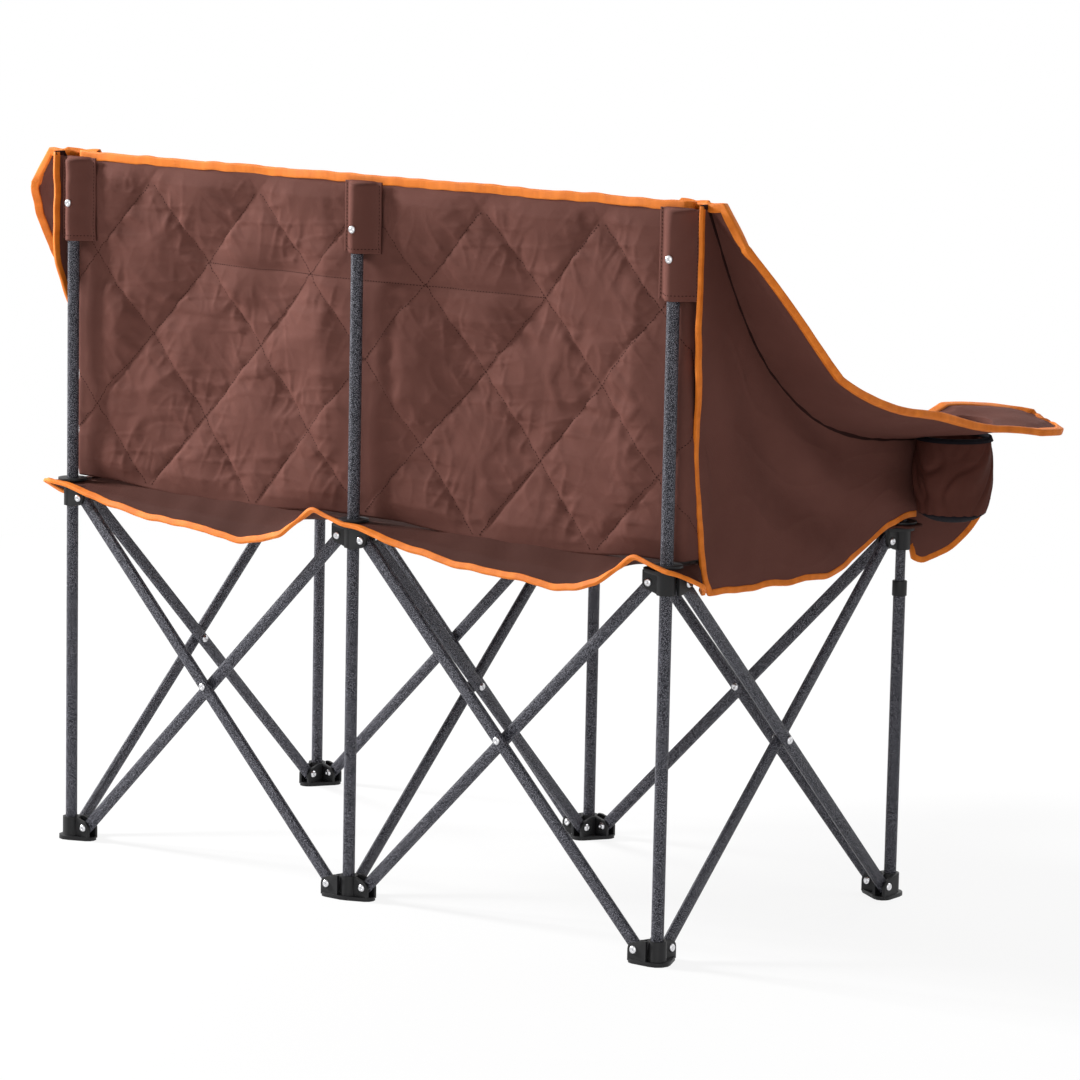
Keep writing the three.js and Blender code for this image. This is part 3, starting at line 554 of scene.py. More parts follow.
def side_cells(grid, side, start=0.0, end=1.0):
    """Cells along one side of a grid, between two shares of its length."""
    rows, columns = grid.shape[:2]
    count = columns if side in ("bottom", "top") else rows
    span = np.arange(round(start * (count - 1)), round(end * (count - 1)) + 1)
    fixed = {"bottom": 0, "top": rows - 1, "start": 0, "end": columns - 1}[side]
    return [(fixed, k) if side in ("bottom", "top") else (k, fixed) for k in span]


def ring_faces(rings, sides):
    """Quads between neighbouring rings of points."""
    faces = []
    for a in range(0, (rings - 1) * sides, sides):
        b = a + sides
        faces += [[a + k, a + (k + 1) % sides, b + (k + 1) % sides, b + k] for k in range(sides)]
    return faces


def binding(name, path, material=TAPE, width=BINDING_WIDTH, cover=BINDING_CLOTH, sides=16):
    """Folded tape over a cloth edge: a flat strip with round edges swept along it, closed at its ends."""
    angles = np.linspace(0, 2 * math.pi, sides, endpoint=False) + math.pi / sides
    flat = np.sign(np.cos(angles)) * np.abs(np.cos(angles)) ** TAPE_SQUARE
    tall = np.sign(np.sin(angles)) * np.abs(np.sin(angles)) ** TAPE_SQUARE
    verts, uvs, travelled, last = [], [], 0.0, None
    for (point, inward, up, half), width in zip(path, np.broadcast_to(width, len(path))):
        travelled += 0 if last is None else np.linalg.norm(point - last)
        last = point
        uneven = TAPE_UNEVEN * ripple(np.array([travelled]), np.array([0.0]), TAPE_UNEVEN_PITCH, 71)[0]
        uneven = min(uneven, BINDING_CLOTH / 2)
        centre = point + inward * (width / 2 - BINDING_CLOTH + uneven)
        for k in range(sides):
            out = inward * flat[k] * width / 2 + up * tall[k] * (half + cover)
            verts.append(centre + out)
            uvs.append((travelled, k / sides * 2 * width))
    end = (len(path) - 1) * sides
    faces = ring_faces(len(path), sides) + [list(range(sides))[::-1], list(range(end, end + sides))]
    return outward(mesh_piece(name, verts, faces, material, uvs))


def stitches(name, lines):
    """Thread lying on a surface: each line is a list of points with normals, cut into short stitches."""
    verts, faces = [], []
    for points, ups in lines:
        steps = np.linalg.norm(np.diff(points, axis=0), axis=1)
        far = np.concatenate([[0], np.cumsum(steps)])
        for place in np.arange(STITCH_PITCH / 2, far[-1] - STITCH_LENGTH / 2, STITCH_PITCH):
            centre = np.array([np.interp(place, far, points[:, c]) for c in range(3)])
            k = min(np.searchsorted(far, place), len(points) - 1)
            along = points[k] - points[k - 1]
            along = along / max(np.linalg.norm(along), 1e-9)
            up = ups[k]
            side = np.cross(up, along)
            base = len(verts)
            verts += [
                centre - along * STITCH_LENGTH / 2, centre + along * STITCH_LENGTH / 2,
                centre + up * STITCH_RADIUS, centre - up * STITCH_RADIUS,
                centre + side * STITCH_RADIUS, centre - side * STITCH_RADIUS,
            ]
            ring = [2, 4, 3, 5]
            for n in range(4):
                p, q = base + ring[n], base + ring[(n + 1) % 4]
                faces += [[base + 1, q, p], [base, p, q]]
    return outward(mesh_piece(name, verts, faces, THREAD_AND_SEAM_SHADE))


def lathe(name, profile, centre, axis, material, sides=24):
    """A turned solid: its profile is a list of [radius, height] along an axis from a centre."""
    axis = Vector(axis).normalized()
    turn = Vector((0, 0, 1)).rotation_difference(axis).to_matrix()
    verts = []
    for radius, height in profile:
        for k in range(sides):
            a = 2 * math.pi * k / sides
            spot = Vector((radius * math.cos(a), radius * math.sin(a), height))
            verts.append(Vector(centre) + turn @ spot)
    return outward(mesh_piece(name, verts, ring_faces(len(profile), sides), material), welded=True)


def joined(name, pieces):
    """Several meshes as one piece."""
    shape = bmesh.new()
    for piece in pieces:
        shape.from_mesh(piece.data)
    data = bpy.data.meshes.new(name)
    shape.to_mesh(data)
    shape.free()
    data.materials.append(pieces[0].data.materials[0])
    whole = placed(name, data)
    for piece in pieces:
        bpy.data.objects.remove(piece)
    return whole


# Sewn cloth

def quilt(column, row):
    u = (column + row) / 2
    v = (column - row) / 2
    return np.abs(np.sin(math.pi * u) * np.sin(math.pi * v)) ** QUILT_ROUND


def creases(x, y, wavelength, seed):
    """Narrow ridges with smooth cloth between them, from 0 to 1."""
    away = np.abs(ripple(x, y, wavelength, seed))
    return np.maximum(0, 1 - away * CREASE_NARROW) ** CREASE_POWER


def puckers(column, row, seed):
    """Small creases that run out square from each stitched line and die away."""
    u = (column + row) / 2
    v = (column - row) / 2
    total = np.zeros_like(u)
    for across, along, turn in ((u, v, 0), (v, u, 40)):
        line = np.rint(across)
        away = np.abs(across - line)
        fan = ripple(along + 7.3 * line, 0.4 * across, 0.20, seed + turn)
        sharp = creases(along + 3.1 * line, 0.5 * across, 0.30, seed + turn + 9)
        total += (0.7 * fan + 0.9 * sharp) * np.exp(-away * PUCKER_FADE)
    return total


def wrinkles(x, z, seed):
    """Mostly level folds of slack cloth, each a few centimetres long."""
    return ripple(0.28 * x, z, WRINKLE_PITCH, seed) + creases(0.24 * x, z, 1.7 * WRINKLE_PITCH, seed + 3)


def beside_seams(column, row):
    """1 at the quilting seams, falling off towards the middle of each diamond."""
    away = [np.abs(share - np.rint(share)) for share in ((column + row) / 2, (column - row) / 2)]
    return np.exp(-np.minimum(*away) * SEAM_FADE)


def from_column(x):
    return np.min([np.abs(x - n * PITCH) for n in (-1, 0, 1)], axis=0)


def bay_share(x):
    share = np.clip((from_column(x) - SEAT_FLAT) / (PITCH / 2 - SEAT_FLAT), 0, 1)
    return 1 - (1 - share) ** SAG_POWER


def pole_share(x):
    return smooth((from_column(x) - POLE_CLEAR) / POLE_EASE)


def clear_of_seams(puff):
    return np.clip(puff * PUCKER_START, 0, 1)


def gather(piece, body):
    """Cloth carried by the given body, on a mesh of its own."""
    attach(piece, body)
    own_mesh(piece)


def quilt_lines(grid, half, reach, rows, face, shown=1.0):
    """Stitched lines of quilting on one face of a grid that is reach half diamonds wide each way."""
    up = normals(grid) * face
    skin = grid + up * half[..., None]
    tall, wide = grid.shape[:2]
    most = math.ceil(reach) + rows
    lines = []

    def lay(column, row):
        keep = (np.abs(column) <= reach - 0.05) & (row > 0.05) & (row < rows - 0.02)
        if keep.sum() > 3:
            j = np.rint(row[keep] / rows * shown * (tall - 1)).astype(int)
            i = np.rint((column[keep] / reach + 1) / 2 * (wide - 1)).astype(int)
            lines.append((skin[j, i] + up[j, i] * STITCH_RADIUS / 2, up[j, i]))

    row = np.linspace(0, rows, 140)
    for start in range(-most - most % 2, most + 1, 2):
        lay(start + row, row)
        lay(start - row, row)
    if rows == QUILT_ROWS:
        lay(np.linspace(-QUILT_HEAD_REACH, QUILT_HEAD_REACH, 240), np.full(240, float(QUILT_HEAD_ROW)))
    return lines


def make_back():
    tall = BACK_HIGH.z - BACK_LOW.z
    quilted = (tall - QUILT_TOP_BAND) / tall

    corner = PITCH + BACK_TURN_OUT - BACK_TURN_RADIUS
    turned = corner + BACK_TURN_RADIUS * math.pi / 2
    wide = turned + BACK_WRAP

    def point(s, t):
        along = np.abs(mix(-wide, wide, s))
        bend = np.clip((along - corner) / BACK_TURN_RADIUS, 0, math.pi / 2)
        x = np.sign(s - 0.5) * (np.minimum(along, corner) + BACK_TURN_RADIUS * np.sin(bend))
        share = bay_share(x)
        z = mix(BACK_LOW.z, BACK_HIGH.z - BINDING_CLOTH, t) - BACK_TUCK * share * (1 - t) ** BACK_TUCK_POWER
        bow = BACK_BOW * arch(t) * share
        loose = pole_share(x) * arch(t) ** 0.5
        uneven = BACK_UNEVEN * ripple(x * 0.7, z, 0.11, 3) + BACK_CREASE * creases(x * 0.5, z, 0.080, 4)
        reach = mix(BACK_WRAP, BACK_WRAP_TOP, smooth((t - BACK_WRAP_START) / BACK_WRAP_RUN))
        wrap = np.maximum(0, along - turned) / BACK_WRAP * reach
        wrap = wrap + BACK_TURN_RADIUS * (1 - np.cos(bend))
        return x, CENTRE + BACK_Y - bow + uneven * loose - wrap, z

    s, t, grid = surface(*BACK_GRID, point)
    column = mix(-wide, wide, s) / QUILT_PITCH
    row = t / quilted * QUILT_ROWS
    warp = QUILT_WARP * ripple(column, row, 2.6, 6)
    puff = quilt(column + warp, row + warp)
    from_seam = np.abs(row - QUILT_HEAD_ROW) * quilted * tall / QUILT_ROWS
    on_seam = smooth((QUILT_HEAD_REACH + 0.1 - np.abs(column)) * 4)
    puff = puff * (1 - on_seam * np.exp(-from_seam / SEAM_WIDTH))
    from_tape = ((1 - t) * tall - BINDING_WIDTH) / TOP_EASE
    from_side = np.minimum(s, 1 - s) * SIDE_FADE
    edge = np.clip(np.minimum(from_side, np.minimum(t * FOOT_FADE, from_tape)), 0, 1)
    share = pole_share(grid[..., 0])
    full = mix(QUILT_PUFF_AT_POLE, QUILT_PUFF, share)
    folds = wrinkles(grid[..., 0], grid[..., 2], 9) * beside_seams(column, row)
    crumple = PUCKER * puckers(column, row, 5) + WRINKLE * folds
    crumple = crumple * edge * mix(PUCKER_AT_POLE, 1, share)
    half = mix(QUILT_SEAM, full, puff * edge) / 2 + crumple * clear_of_seams(puff)
    half = np.maximum(QUILT_SEAM / 2, half)
    back = cloth_solid("back_quilted", grid, half, BROWN)
    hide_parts("back_panel")
    lines = []
    for face in (1, -1):
        lines += quilt_lines(grid, half, wide / QUILT_PITCH, QUILT_ROWS, face, quilted)
    thread = stitches("back_stitching", lines)
    bound = BACK_WRAP / wide / 2
    tape = binding("back_binding", edge_path(grid, half, side_cells(grid, "top", bound, 1 - bound)))
    for piece in (back, thread, tape):
        gather(piece, "rear_middle_column")


def seat_height(x, y):
    inner = HALF - SEAT_FLAT
    deep = smooth((inner - np.abs(y)) / inner)
    ahead = smooth((BACK_Y - y) / (BACK_Y - inner))
    return SEAT_Z - SEAT_SAG_ACROSS * bay_share(x) * ahead - SEAT_SAG_DEEP * deep


def skirt_share(x):
    """Droop of the rear skirt along a bay: lowest past its middle, then a fold standing beside a hub."""
    along = np.mod(PITCH - x, PITCH) / PITCH
    steps = np.linspace(-SKIRT_EASE, SKIRT_EASE, 11)
    return np.mean([np.interp(np.mod(along + step, 1), SKIRT_AT, SKIRT_HANG) for step in steps], axis=0)


def make_seat(name, sign, out, drop, falls, edge_side, body):
    """One half of the seat, from the middle seam over its row of hubs to its hanging edge."""
    inner = HALF - SEAT_FLAT
    notch = BACK_Y - QUILT_SEAM
    reach = HALF + out
    rear = sign > 0
    tab_from = notch - rear * TAB_AHEAD
    fall_at = (notch + SEAT_NOTCH, HALF + SEAT_HOLE_RADIUS, HALF + SEAT_EDGE_ROW * out, reach)

    def point(s, t):
        wide = mix(-1, 1, s) * (PITCH + SEAT_CORNER)
        tip = smooth((np.abs(wide) - PITCH) / SEAT_CORNER)
        y = t * reach - rear * TAB_TUCK * tip * t ** TAB_TUCK_POWER
        tab = smooth((y - tab_from) / SEAT_NOTCH)
        lip = smooth((y - HALF - SEAT_HOLE_RADIUS) / (SEAT_EDGE_ROW * out - SEAT_HOLE_RADIUS))
        meeting = np.clip((y - tab_from) / TAB_AHEAD, 0, 1)
        corner = mix(TAB_MEET, TAB_OUT, meeting) if rear else SEAT_CORNER
        side = mix(mix(SEAT_SIDE, corner, tab), edge_side, lip)
        x = wide * (PITCH + side) / (PITCH + SEAT_CORNER)
        share = bay_share(wide)
        fall = np.interp(y, fall_at, (0, *falls))
        hang = skirt_share(wide) if rear else share
        z = seat_height(wide, sign * np.minimum(y, HALF)) - drop * fall * hang
        uneven = SEAT_UNEVEN * ripple(wide, y, 0.07, 11)
        uneven = uneven + SKIRT_UNEVEN * fall * ripple(wide, 0 * y, 0.09, 13)
        z = z + uneven * share
        fold = np.minimum(TAB_FOLD, corner - TAB_ROLL)
        over = smooth((np.abs(x) - PITCH - fold) / (corner - fold))
        z = z - rear * TAB_DROP * tab * over * np.clip((reach - y) / (reach - tab_from), 0, 1)
        return x, CENTRE + sign * y, z

    s, t, grid = surface(*SEAT_GRID, point)
    column, row = mix(-1, 1, s) * SEAT_QUILT_COLUMNS / 2, t * reach / inner * SEAT_QUILT_ROWS
    padded = np.clip((SEAT_QUILT_ROWS - row) * SEAT_PAD_FADE, 0, 1)
    padded = padded * np.clip(np.minimum(s, 1 - s) * SIDE_FADE, 0, 1)
    padded = padded * bay_share(mix(-1, 1, s) * (PITCH + SEAT_CORNER))
    puff = quilt(column, row) * padded
    half = mix(SEAT_CLOTH, SEAT_PUFF, puff) / 2
    half = half + PUCKER / 2 * puckers(column, row, 15) * padded * clear_of_seams(puff)
    # The seat takes the darker brown, which paints the skirt's shade into its colour
    seat = cloth_solid(f"seat_{name}_quilted", grid, half, SHADED_SEAT_BROWN)
    for n in (-1, 0, 1):
        cut_round(seat, (n * PITCH, CENTRE + sign * HALF, SEAT_Z), SEAT_HOLE_RADIUS, SEAT_HOLE_DEPTH)
    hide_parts(f"seat_{name}")
    shown = inner / reach
    lines = []
    for face in (1, -1):
        lines += quilt_lines(grid, half, SEAT_QUILT_COLUMNS / 2, SEAT_QUILT_ROWS, face, shown)
    thread = stitches(f"seat_{name}_stitching", lines)
    edges = side_cells(grid, "top")
    if rear:
        tab_start = (tab_from + SEAT_NOTCH) / reach
        edges = side_cells(grid, "start", tab_start, 1.0) + edges[1:]
        edges += side_cells(grid, "end", tab_start, 1.0)[::-1][1:]
    tape = binding(f"seat_{name}_binding", edge_path(grid, half, edges), width=HEM_WIDTH)
    for piece in (seat, thread, tape):
        gather(piece, body)


def cut_round(piece, centre, radius, depth, sides=32):
    """Cuts a round hole along Z through a piece."""
    profile = [(0, -depth), (radius, -depth), (radius, depth), (0, depth)]
    tool = lathe("hole_tool", profile, centre, (0, 0, 1), BROWN, sides)
    change = piece.modifiers.new("hole", "BOOLEAN")
    change.operation = "DIFFERENCE"
    change.solver = "EXACT"
    change.object = tool
    bpy.context.view_layer.update()
    shown = piece.evaluated_get(bpy.context.evaluated_depsgraph_get())
    data = bpy.data.meshes.new_from_object(shown)
    piece.modifiers.clear()
    piece.data = data
    bpy.data.objects.remove(tool)


# Arms and sides, drawn about the centre of the columns

def arm_share(y):
    return np.clip((y + HALF) / (ARM_REAR + HALF), 0, 1)


def arm_height(y):
    return mix(ARM_HEIGHT, BACK_TOP, arm_share(y) ** ARM_SWEEP_POWER)


def arm_point(y, across):
    share = arm_share(y)
    width = mix(ARM_WIDTH_FRONT, ARM_WIDTH_REAR, share ** ARM_WIDTH_POWER)
    ahead = np.maximum(0, -HALF - y)
    nose_start = ARM_FRONT - ARM_NOSE
    tip = np.minimum(ARM_NOSE_ROUND, np.maximum(0, ahead - nose_start) / ARM_NOSE)
    nose = np.sqrt(1 - tip ** 2)
    centre = PITCH - ARM_INNER_IN + width / 2 + ARM_NOSE_OUT * ahead / ARM_FRONT
    x = centre + (across - 0.5) * width * nose
    back = ARM_SWEEP_BACK * share * across ** ARM_CURL
    wave = mix(ARM_LIFT_PHASE, 1, np.clip(share / ARM_LIFT_END, 0, 1))
    lift = ARM_LIFT * arch(wave) * across
    forward = np.clip(ahead / nose_start, 0, 1)
    rise = forward * (ARM_NOSE_RISE - ARM_NOSE_TILT * across) - ARM_NOSE_DIP * tip ** 2
    return x, np.minimum(y + back, BACK_Y), arm_height(y) + lift + rise


def arm_half(y, across):
    taper = np.clip((ARM_REAR - y) / ARM_REAR_TAPER, 0, 1)
    return mix(ARM_EDGE, ARM_PAD, taper * arch(np.clip(across, 0, 1)) ** ARM_CROWN) / 2


def under_arm(y, out):
    """Height of the arm pad's underside over a spot, whose station lies ahead of y by the pad's sweep."""
    station = np.minimum(y, ARM_REAR)
    for _ in range(SWEEP_PASSES):
        inner = arm_point(station, np.zeros_like(y))[0]
        outer = arm_point(station, np.ones_like(y))[0]
        across = np.clip((PITCH + out - inner) / (outer - inner), 0, 1)
        station = np.minimum(station + y - arm_point(station, across)[1], ARM_REAR)
    x, _, z = arm_point(station, across)
    ahead = arm_point(station - PROBE, across)[2]
    beside = arm_point(station, across + PROBE_ACROSS)
    slope = np.hypot((z - ahead) / PROBE, (beside[2] - z) / np.maximum(beside[0] - x, 1e-6))
    return z - arm_half(station, across) * np.hypot(1, slope)


def fold_side(piece, place):
    """Side cloth carried by its side cover's body, on a mesh of its own."""
    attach(piece, f"side_cover_{place}")
    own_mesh(piece)


def make_arm(place):
    side = SIDES[place]

    def point(s, t):
        y = mix(ARM_REAR, -HALF - ARM_FRONT, s)
        x, rear, z = arm_point(y, t)
        uneven = ARM_UNEVEN * ripple(y, t * 0.16, 0.09, 21) * arch(t)
        wavy = ARM_EDGE_WAVE * ripple(y, 0 * t, 0.13, 23) * t ** 4 * smooth(s * 8)
        return side * x, CENTRE + rear, z + uneven + wavy

    s, t, grid = surface(*ARM_GRID, point)
    y = mix(ARM_REAR, -HALF - ARM_FRONT, s)
    across = np.linalg.norm(grid[-1] - grid[0], axis=-1)
    from_tip = (1 - s) * (ARM_REAR + HALF + ARM_FRONT)
    from_sides = np.minimum(t * across - (ARM_INNER_TAPE - 1) * ARM_PRESSED, (1 - t) * across)
    from_tape = np.minimum(from_sides, from_tip) - ARM_PRESSED
    eased = from_tape / ARM_PRESS_EASE
    seam = np.exp(-eased) * np.clip(eased * 2, 0, 1)
    half = mix(ARM_EDGE / 2, arm_half(y, t), smooth(eased))
    half = half + ARM_PUCKER * ripple(y, 0.1 * t, 0.024, 25) * seam
    arm = cloth_solid(f"arm_pad_{place}", grid, half, BROWN)
    hole = (side * CUP_X, CUP_Y, CUP_HIGH.z)
    cup_radius = (CUP_HIGH.y - CUP_LOW.y) / 2
    cut_round(arm, hole, cup_radius + CUP_CLEARANCE, CUP_HOLE_DEPTH, CUP_HOLE_SIDES)
    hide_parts(f"armrest_{place}")
    loop = side_cells(grid, "start") + side_cells(grid, "top")[1:] + side_cells(grid, "end")[::-1][1:]
    inner = side_cells(grid, "bottom", 1 - ARM_INNER_BOUND, 1.0)[::-1][1:]
    wider = mix(1, ARM_INNER_TAPE, smooth((np.arange(len(loop + inner)) - len(loop)) / 12))
    width = BINDING_WIDTH * wider
    tape = binding(f"arm_binding_{place}", edge_path(grid, half, loop + inner), TAPE, width, ARM_TAPE_CLOTH)
    for piece in (arm, tape):
        fold_side(piece, place)


def make_side(place):
    side = SIDES[place]

    def point(s, t):
        station = mix(ARM_REAR, SIDE_FRONT, s)
        wrap = (1 - s) ** SIDE_WRAP_POWER
        out = SIDE_OUT + SIDE_FLARE * wrap + SIDE_CLOTH / 2
        top = under_arm(station + SIDE_WRAP * wrap, out) + SIDE_TOP_IN
        droop = mix(SIDE_BOTTOM_REAR, SIDE_BOTTOM, smooth(2 * s))
        bottom = mix(droop, SIDE_BOTTOM_FRONT, smooth((s - SIDE_RISE_START) / SIDE_RISE_RUN))
        bottom = bottom + SIDE_HEM_WAVE * ripple(s, 0 * t, 0.25, 35) * arch(s)
        z = mix(bottom, top, t)
        flare = wrap * smooth((z - SIDE_FLARE_BOTTOM) / SIDE_FLARE_RISE)
        tuck = SIDE_REAR_TUCK * (1 - t) ** 4 * (1 - s) ** 2
        corner = SIDE_CORNER * np.exp(-t * 30) * np.exp(-s * 12)
        wander = SIDE_WANDER * ripple(z, 0 * z, 0.16, 39) * np.exp(-s * 9) * arch(t)
        hang = np.sqrt(arch(t) * arch(s))
        drape = SIDE_DRAPE * ripple(0.5 * s + 0.30 * t, 0.3 * t - 0.2 * s, 0.25, 31) * hang
        drape = drape + SIDE_CREASE * creases(0.5 * s - 0.2 * t, 0.3 * t, 0.12, 33) * hang
        x = PITCH + SIDE_OUT + SIDE_FLARE * flare + drape
        return side * x, CENTRE + station + SIDE_WRAP * flare - tuck - corner - wander, z

    s, t, grid = surface(*SIDE_GRID, point)
    half = np.full_like(s, SIDE_CLOTH / 2)
    panel = cloth_solid(f"side_cloth_{place}", grid, half, BROWN)
    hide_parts(f"side_panel_{place}")
    edges = side_cells(grid, "start")[::-1] + side_cells(grid, "bottom")[1:]
    tape = binding(f"side_binding_{place}", edge_path(grid, half, edges), width=HEM_WIDTH)
    # Painted shade: a dark strip along the seam under the arm pad, standing in for the shadow line where pad
    # and panel meet
    seam = binding(f"arm_seam_shade_{place}", edge_path(grid, half, side_cells(grid, "top")), THREAD_AND_SEAM_SHADE, ARM_SEAM_SHADE)
    for piece in (panel, tape, seam):
        fold_side(piece, place)


def make_lining(place):
    side = SIDES[place]
    post = -HALF - FLAP_START
    rear = ARM_REAR - ARM_EDGE
    front = -HALF - FLAP_FRONT

    def point(s, t):
        y = mix(rear, front, s)
        ahead = np.maximum(0, post - y) / (post - front)
        y = y + FLAP_LEAN * smooth((t + 0.15) / 0.5) * ahead ** 3
        out = FLAP_FLARE * np.maximum(0, post - y) - LINING_IN
        top = under_arm(y, out)
        round_off = 1 - np.sqrt(1 - np.minimum(FLAP_ROUND, ahead) ** 2)
        lowest = FLAP_BOTTOM + FLAP_SLOPE * (1 - smooth(ahead * 4))
        flap = mix(LINING_BOTTOM, lowest, smooth(ahead * FLAP_STEP))
        bottom = mix(flap, mix(FLAP_BOTTOM, top, FLAP_CORNER), round_off)
        drape = LINING_DRAPE * ripple(y, t * 0.3, 0.08, 41) * arch(t) * arch(s)
        return side * (PITCH + out + drape), CENTRE + y, mix(bottom, top, t)

    s, t, grid = surface(*LINING_GRID, point)
    crown = np.sqrt(np.maximum(0, arch(s) * arch(t)))
    half = mix(LINING_EDGE, LINING_PAD, crown) / 2
    lining = cloth_solid(f"lining_{place}", grid, half, BROWN)
    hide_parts(f"side_lining_{place}")
    start = (rear - post + FLAP_TAPE_START * (post - front) / FLAP_STEP) / (rear - front)
    edges = side_cells(grid, "bottom", start, 1.0) + side_cells(grid, "end")[1:]
    tape = binding(f"flap_binding_{place}", edge_path(grid, half, edges), width=HEM_WIDTH)
    for piece in (lining, tape):
        fold_side(piece, place)


def make_cup(place):
    """Hanging pouch of creased cloth with a dark hem and a black dished base."""
    side = SIDES[place]
    centre = Vector((side * CUP_X, CUP_Y, CUP_LOW.z))
    depth = CUP_HIGH.z - CUP_LOW.z
    top = (CUP_HIGH.y - CUP_LOW.y) / 2
    rise = np.linspace(0, 1, 48)
    height = mix(CUP_BASE, depth, rise)
    radius = top - CUP_TAPER * (1 - rise) ** 2 + CUP_BULGE * arch(rise) ** 0.8
    wall = list(zip(radius, height)) + list(zip(radius[::-1] - CUP_CLOTH, height[::-1]))
    pouch = lathe(f"cup_pouch_{place}", wall + wall[:1], centre, (0, 0, 1), POUCH, CUP_SIDES)
    rim = top - CUP_CLOTH
    hem = [
        (rim, depth - CUP_HEM), (top + CUP_PROUD + CUP_HEM_FLARE, depth - CUP_HEM), (top + CUP_PROUD, depth),
        (rim, depth), (rim, depth - CUP_HEM),
    ]
    band = lathe(f"cup_band_{place}", hem, centre, (0, 0, 1), BLACK_CLOTH, CUP_SIDES)
    share = np.linspace(0, 1, 12)
    dish = list(zip(radius[0] * share, CUP_BASE * share ** 3))
    dish += list(zip((radius[0] - CUP_CLOTH) * share[::-1], CUP_CLOTH + CUP_BASE * share[::-1] ** 3))
    base = lathe(f"cup_base_{place}", dish, centre, (0, 0, 1), BLACK_CLOTH, CUP_SIDES)
    crease_cup(pouch, centre, depth, 61 + side)
    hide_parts(f"cup_holder_{place}")
    for piece in (pouch, band, base):
        fold_side(piece, place)


def crease_cup(pouch, centre, depth, seed):
    """Slanting folds and gathers of a pouch, dying out at its hem and its base."""
    spots = np.array([vertex.co - centre for vertex in pouch.data.vertices])
    around = np.arctan2(spots[:, 1], spots[:, 0])
    rise = np.clip((spots[:, 2] - CUP_BASE) / (depth - CUP_BASE), 0, 1)
    radius = np.hypot(spots[:, 0], spots[:, 1])
    along, up = np.cos(around) * 0.05, np.sin(around) * 0.05 + spots[:, 2] * 0.7
    slack = arch(rise) ** 0.6
    folds = ripple(along, up, 0.050, seed) - 1.3 * creases(along, up, 0.048, seed + 5)
    gathers = np.sin(19 * around + 4 * rise) * np.exp(-rise * 9) * 0.2
    scale = 1 + CUP_CREASE * (folds * slack + gathers) / radius
    for vertex, spot, grown in zip(pouch.data.vertices, spots, scale):
        vertex.co = centre + Vector((spot[0] * grown, spot[1] * grown, spot[2]))


# Sleeves and rivets

def make_sleeve(place):
    """Cloth sewn over the top of a pole, humped round it and closed above it."""
    x_pole = COLUMNS[place] * PITCH
    front = REAR - POLE_RADIUS - BACK_FACE_GAP + QUILT_PUFF_AT_POLE / 2 + SLEEVE_CLOTH
    proud = REAR + POLE_RADIUS + SLEEVE_PROUD - front
    tall = CORNER_SLEEVE_HEIGHT if COLUMNS[place] else SLEEVE_HEIGHT
    bottom = BACK_HIGH.z - tall
    closed = BACK_HIGH.z - SLEEVE_COVERED * BINDING_WIDTH

    def point(s, t):
        x = mix(-SLEEVE_HALF_WIDTH, SLEEVE_HALF_WIDTH, s)
        z = mix(bottom, closed, t)
        open_top = 1 - smooth((z - POLE_TOP - SLEEVE_CLEAR) / (closed - POLE_TOP - SLEEVE_CLEAR))
        slope = np.clip(np.abs(x) / SLEEVE_HUMP_HALF, 0, 1)
        hump = ((1 + np.cos(math.pi * slope)) / 2) ** 0.8 * open_top
        flutter = SLEEVE_FLUTTER * ripple(x, z, 0.035, 51 + COLUMNS[place])
        return x_pole + x, front + proud * hump + flutter, z

    s, t, grid = surface(*SLEEVE_GRID, point)
    half = np.full_like(s, SLEEVE_CLOTH / 2)
    sleeve = cloth_solid(f"sleeve_cloth_{place}", grid, half, BROWN)
    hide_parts(f"sleeve_{place}")
    up = normals(grid)
    skin = grid + up * half[..., None] * np.sign(up[..., 1:2])
    hems = (SLEEVE_HEM, SLEEVE_GRID[0] - SLEEVE_HEM)
    lines = [(skin[:, i], up[:, i]) for i in hems] + [(skin[SLEEVE_HEM, :], up[SLEEVE_HEM, :])]
    thread = stitches(f"sleeve_stitching_{place}", lines)
    spot = (x_pole, front + proud + SLEEVE_CLOTH / 2, BACK_HIGH.z - SLEEVE_RIVET_DROP)
    rivet = rivet_head(f"sleeve_rivet_{place}", spot, (0, 1, 0))
    for piece in (sleeve, thread, rivet):
        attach(piece, f"rear_{place}_column")


def rivet_head(name, spot, axis):
    r, h = RIVET_RADIUS, RIVET_HEIGHT
    profile = [
        (0, -RIVET_SUNK), (r, -RIVET_SUNK), (r, 0.25 * h), (0.86 * r, 0.62 * h),
        (0.6 * r, 0.9 * h), (0.42 * r, h), (0.34 * r, 0.7 * h), (0, 0.62 * h),
    ]
    return lathe(name, profile, spot, axis, ZINC, 20)


def make_pivot_rivets():
    """A domed head on both ears of every foot and hub."""
    for row, front in (("rear", 1), ("front", -1)):
        for place, across in COLUMNS.items():
            angles = [-front * math.pi / 2] + [0] * (across < 1) + [math.pi] * (across > -1)
            for block, height, lean in (("column", PIVOT_RISE, 1), ("hub", HUB_PIVOT, -1)):
                heads = []
                for angle in angles:
                    turn = Matrix.Rotation(angle, 3, "Z")
                    base = Vector((across * PITCH, CENTRE + front * HALF, height))
                    axis = turn @ Vector((0, 1, 0))
                    pivot = base + turn @ Vector((PIVOT_REACH, lean * BRACE_OFFSET, 0))
                    for way in (1, -1):
                        heads.append(rivet_head("head", pivot + axis * way * EAR_FACE, axis * way))
                whole = joined(f"rivets_{block}_{row}_{place}", heads)
                body = f"{row}_{place}_column" if block == "column" else f"hub_{row}_{place}_body"
                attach(whole, body)


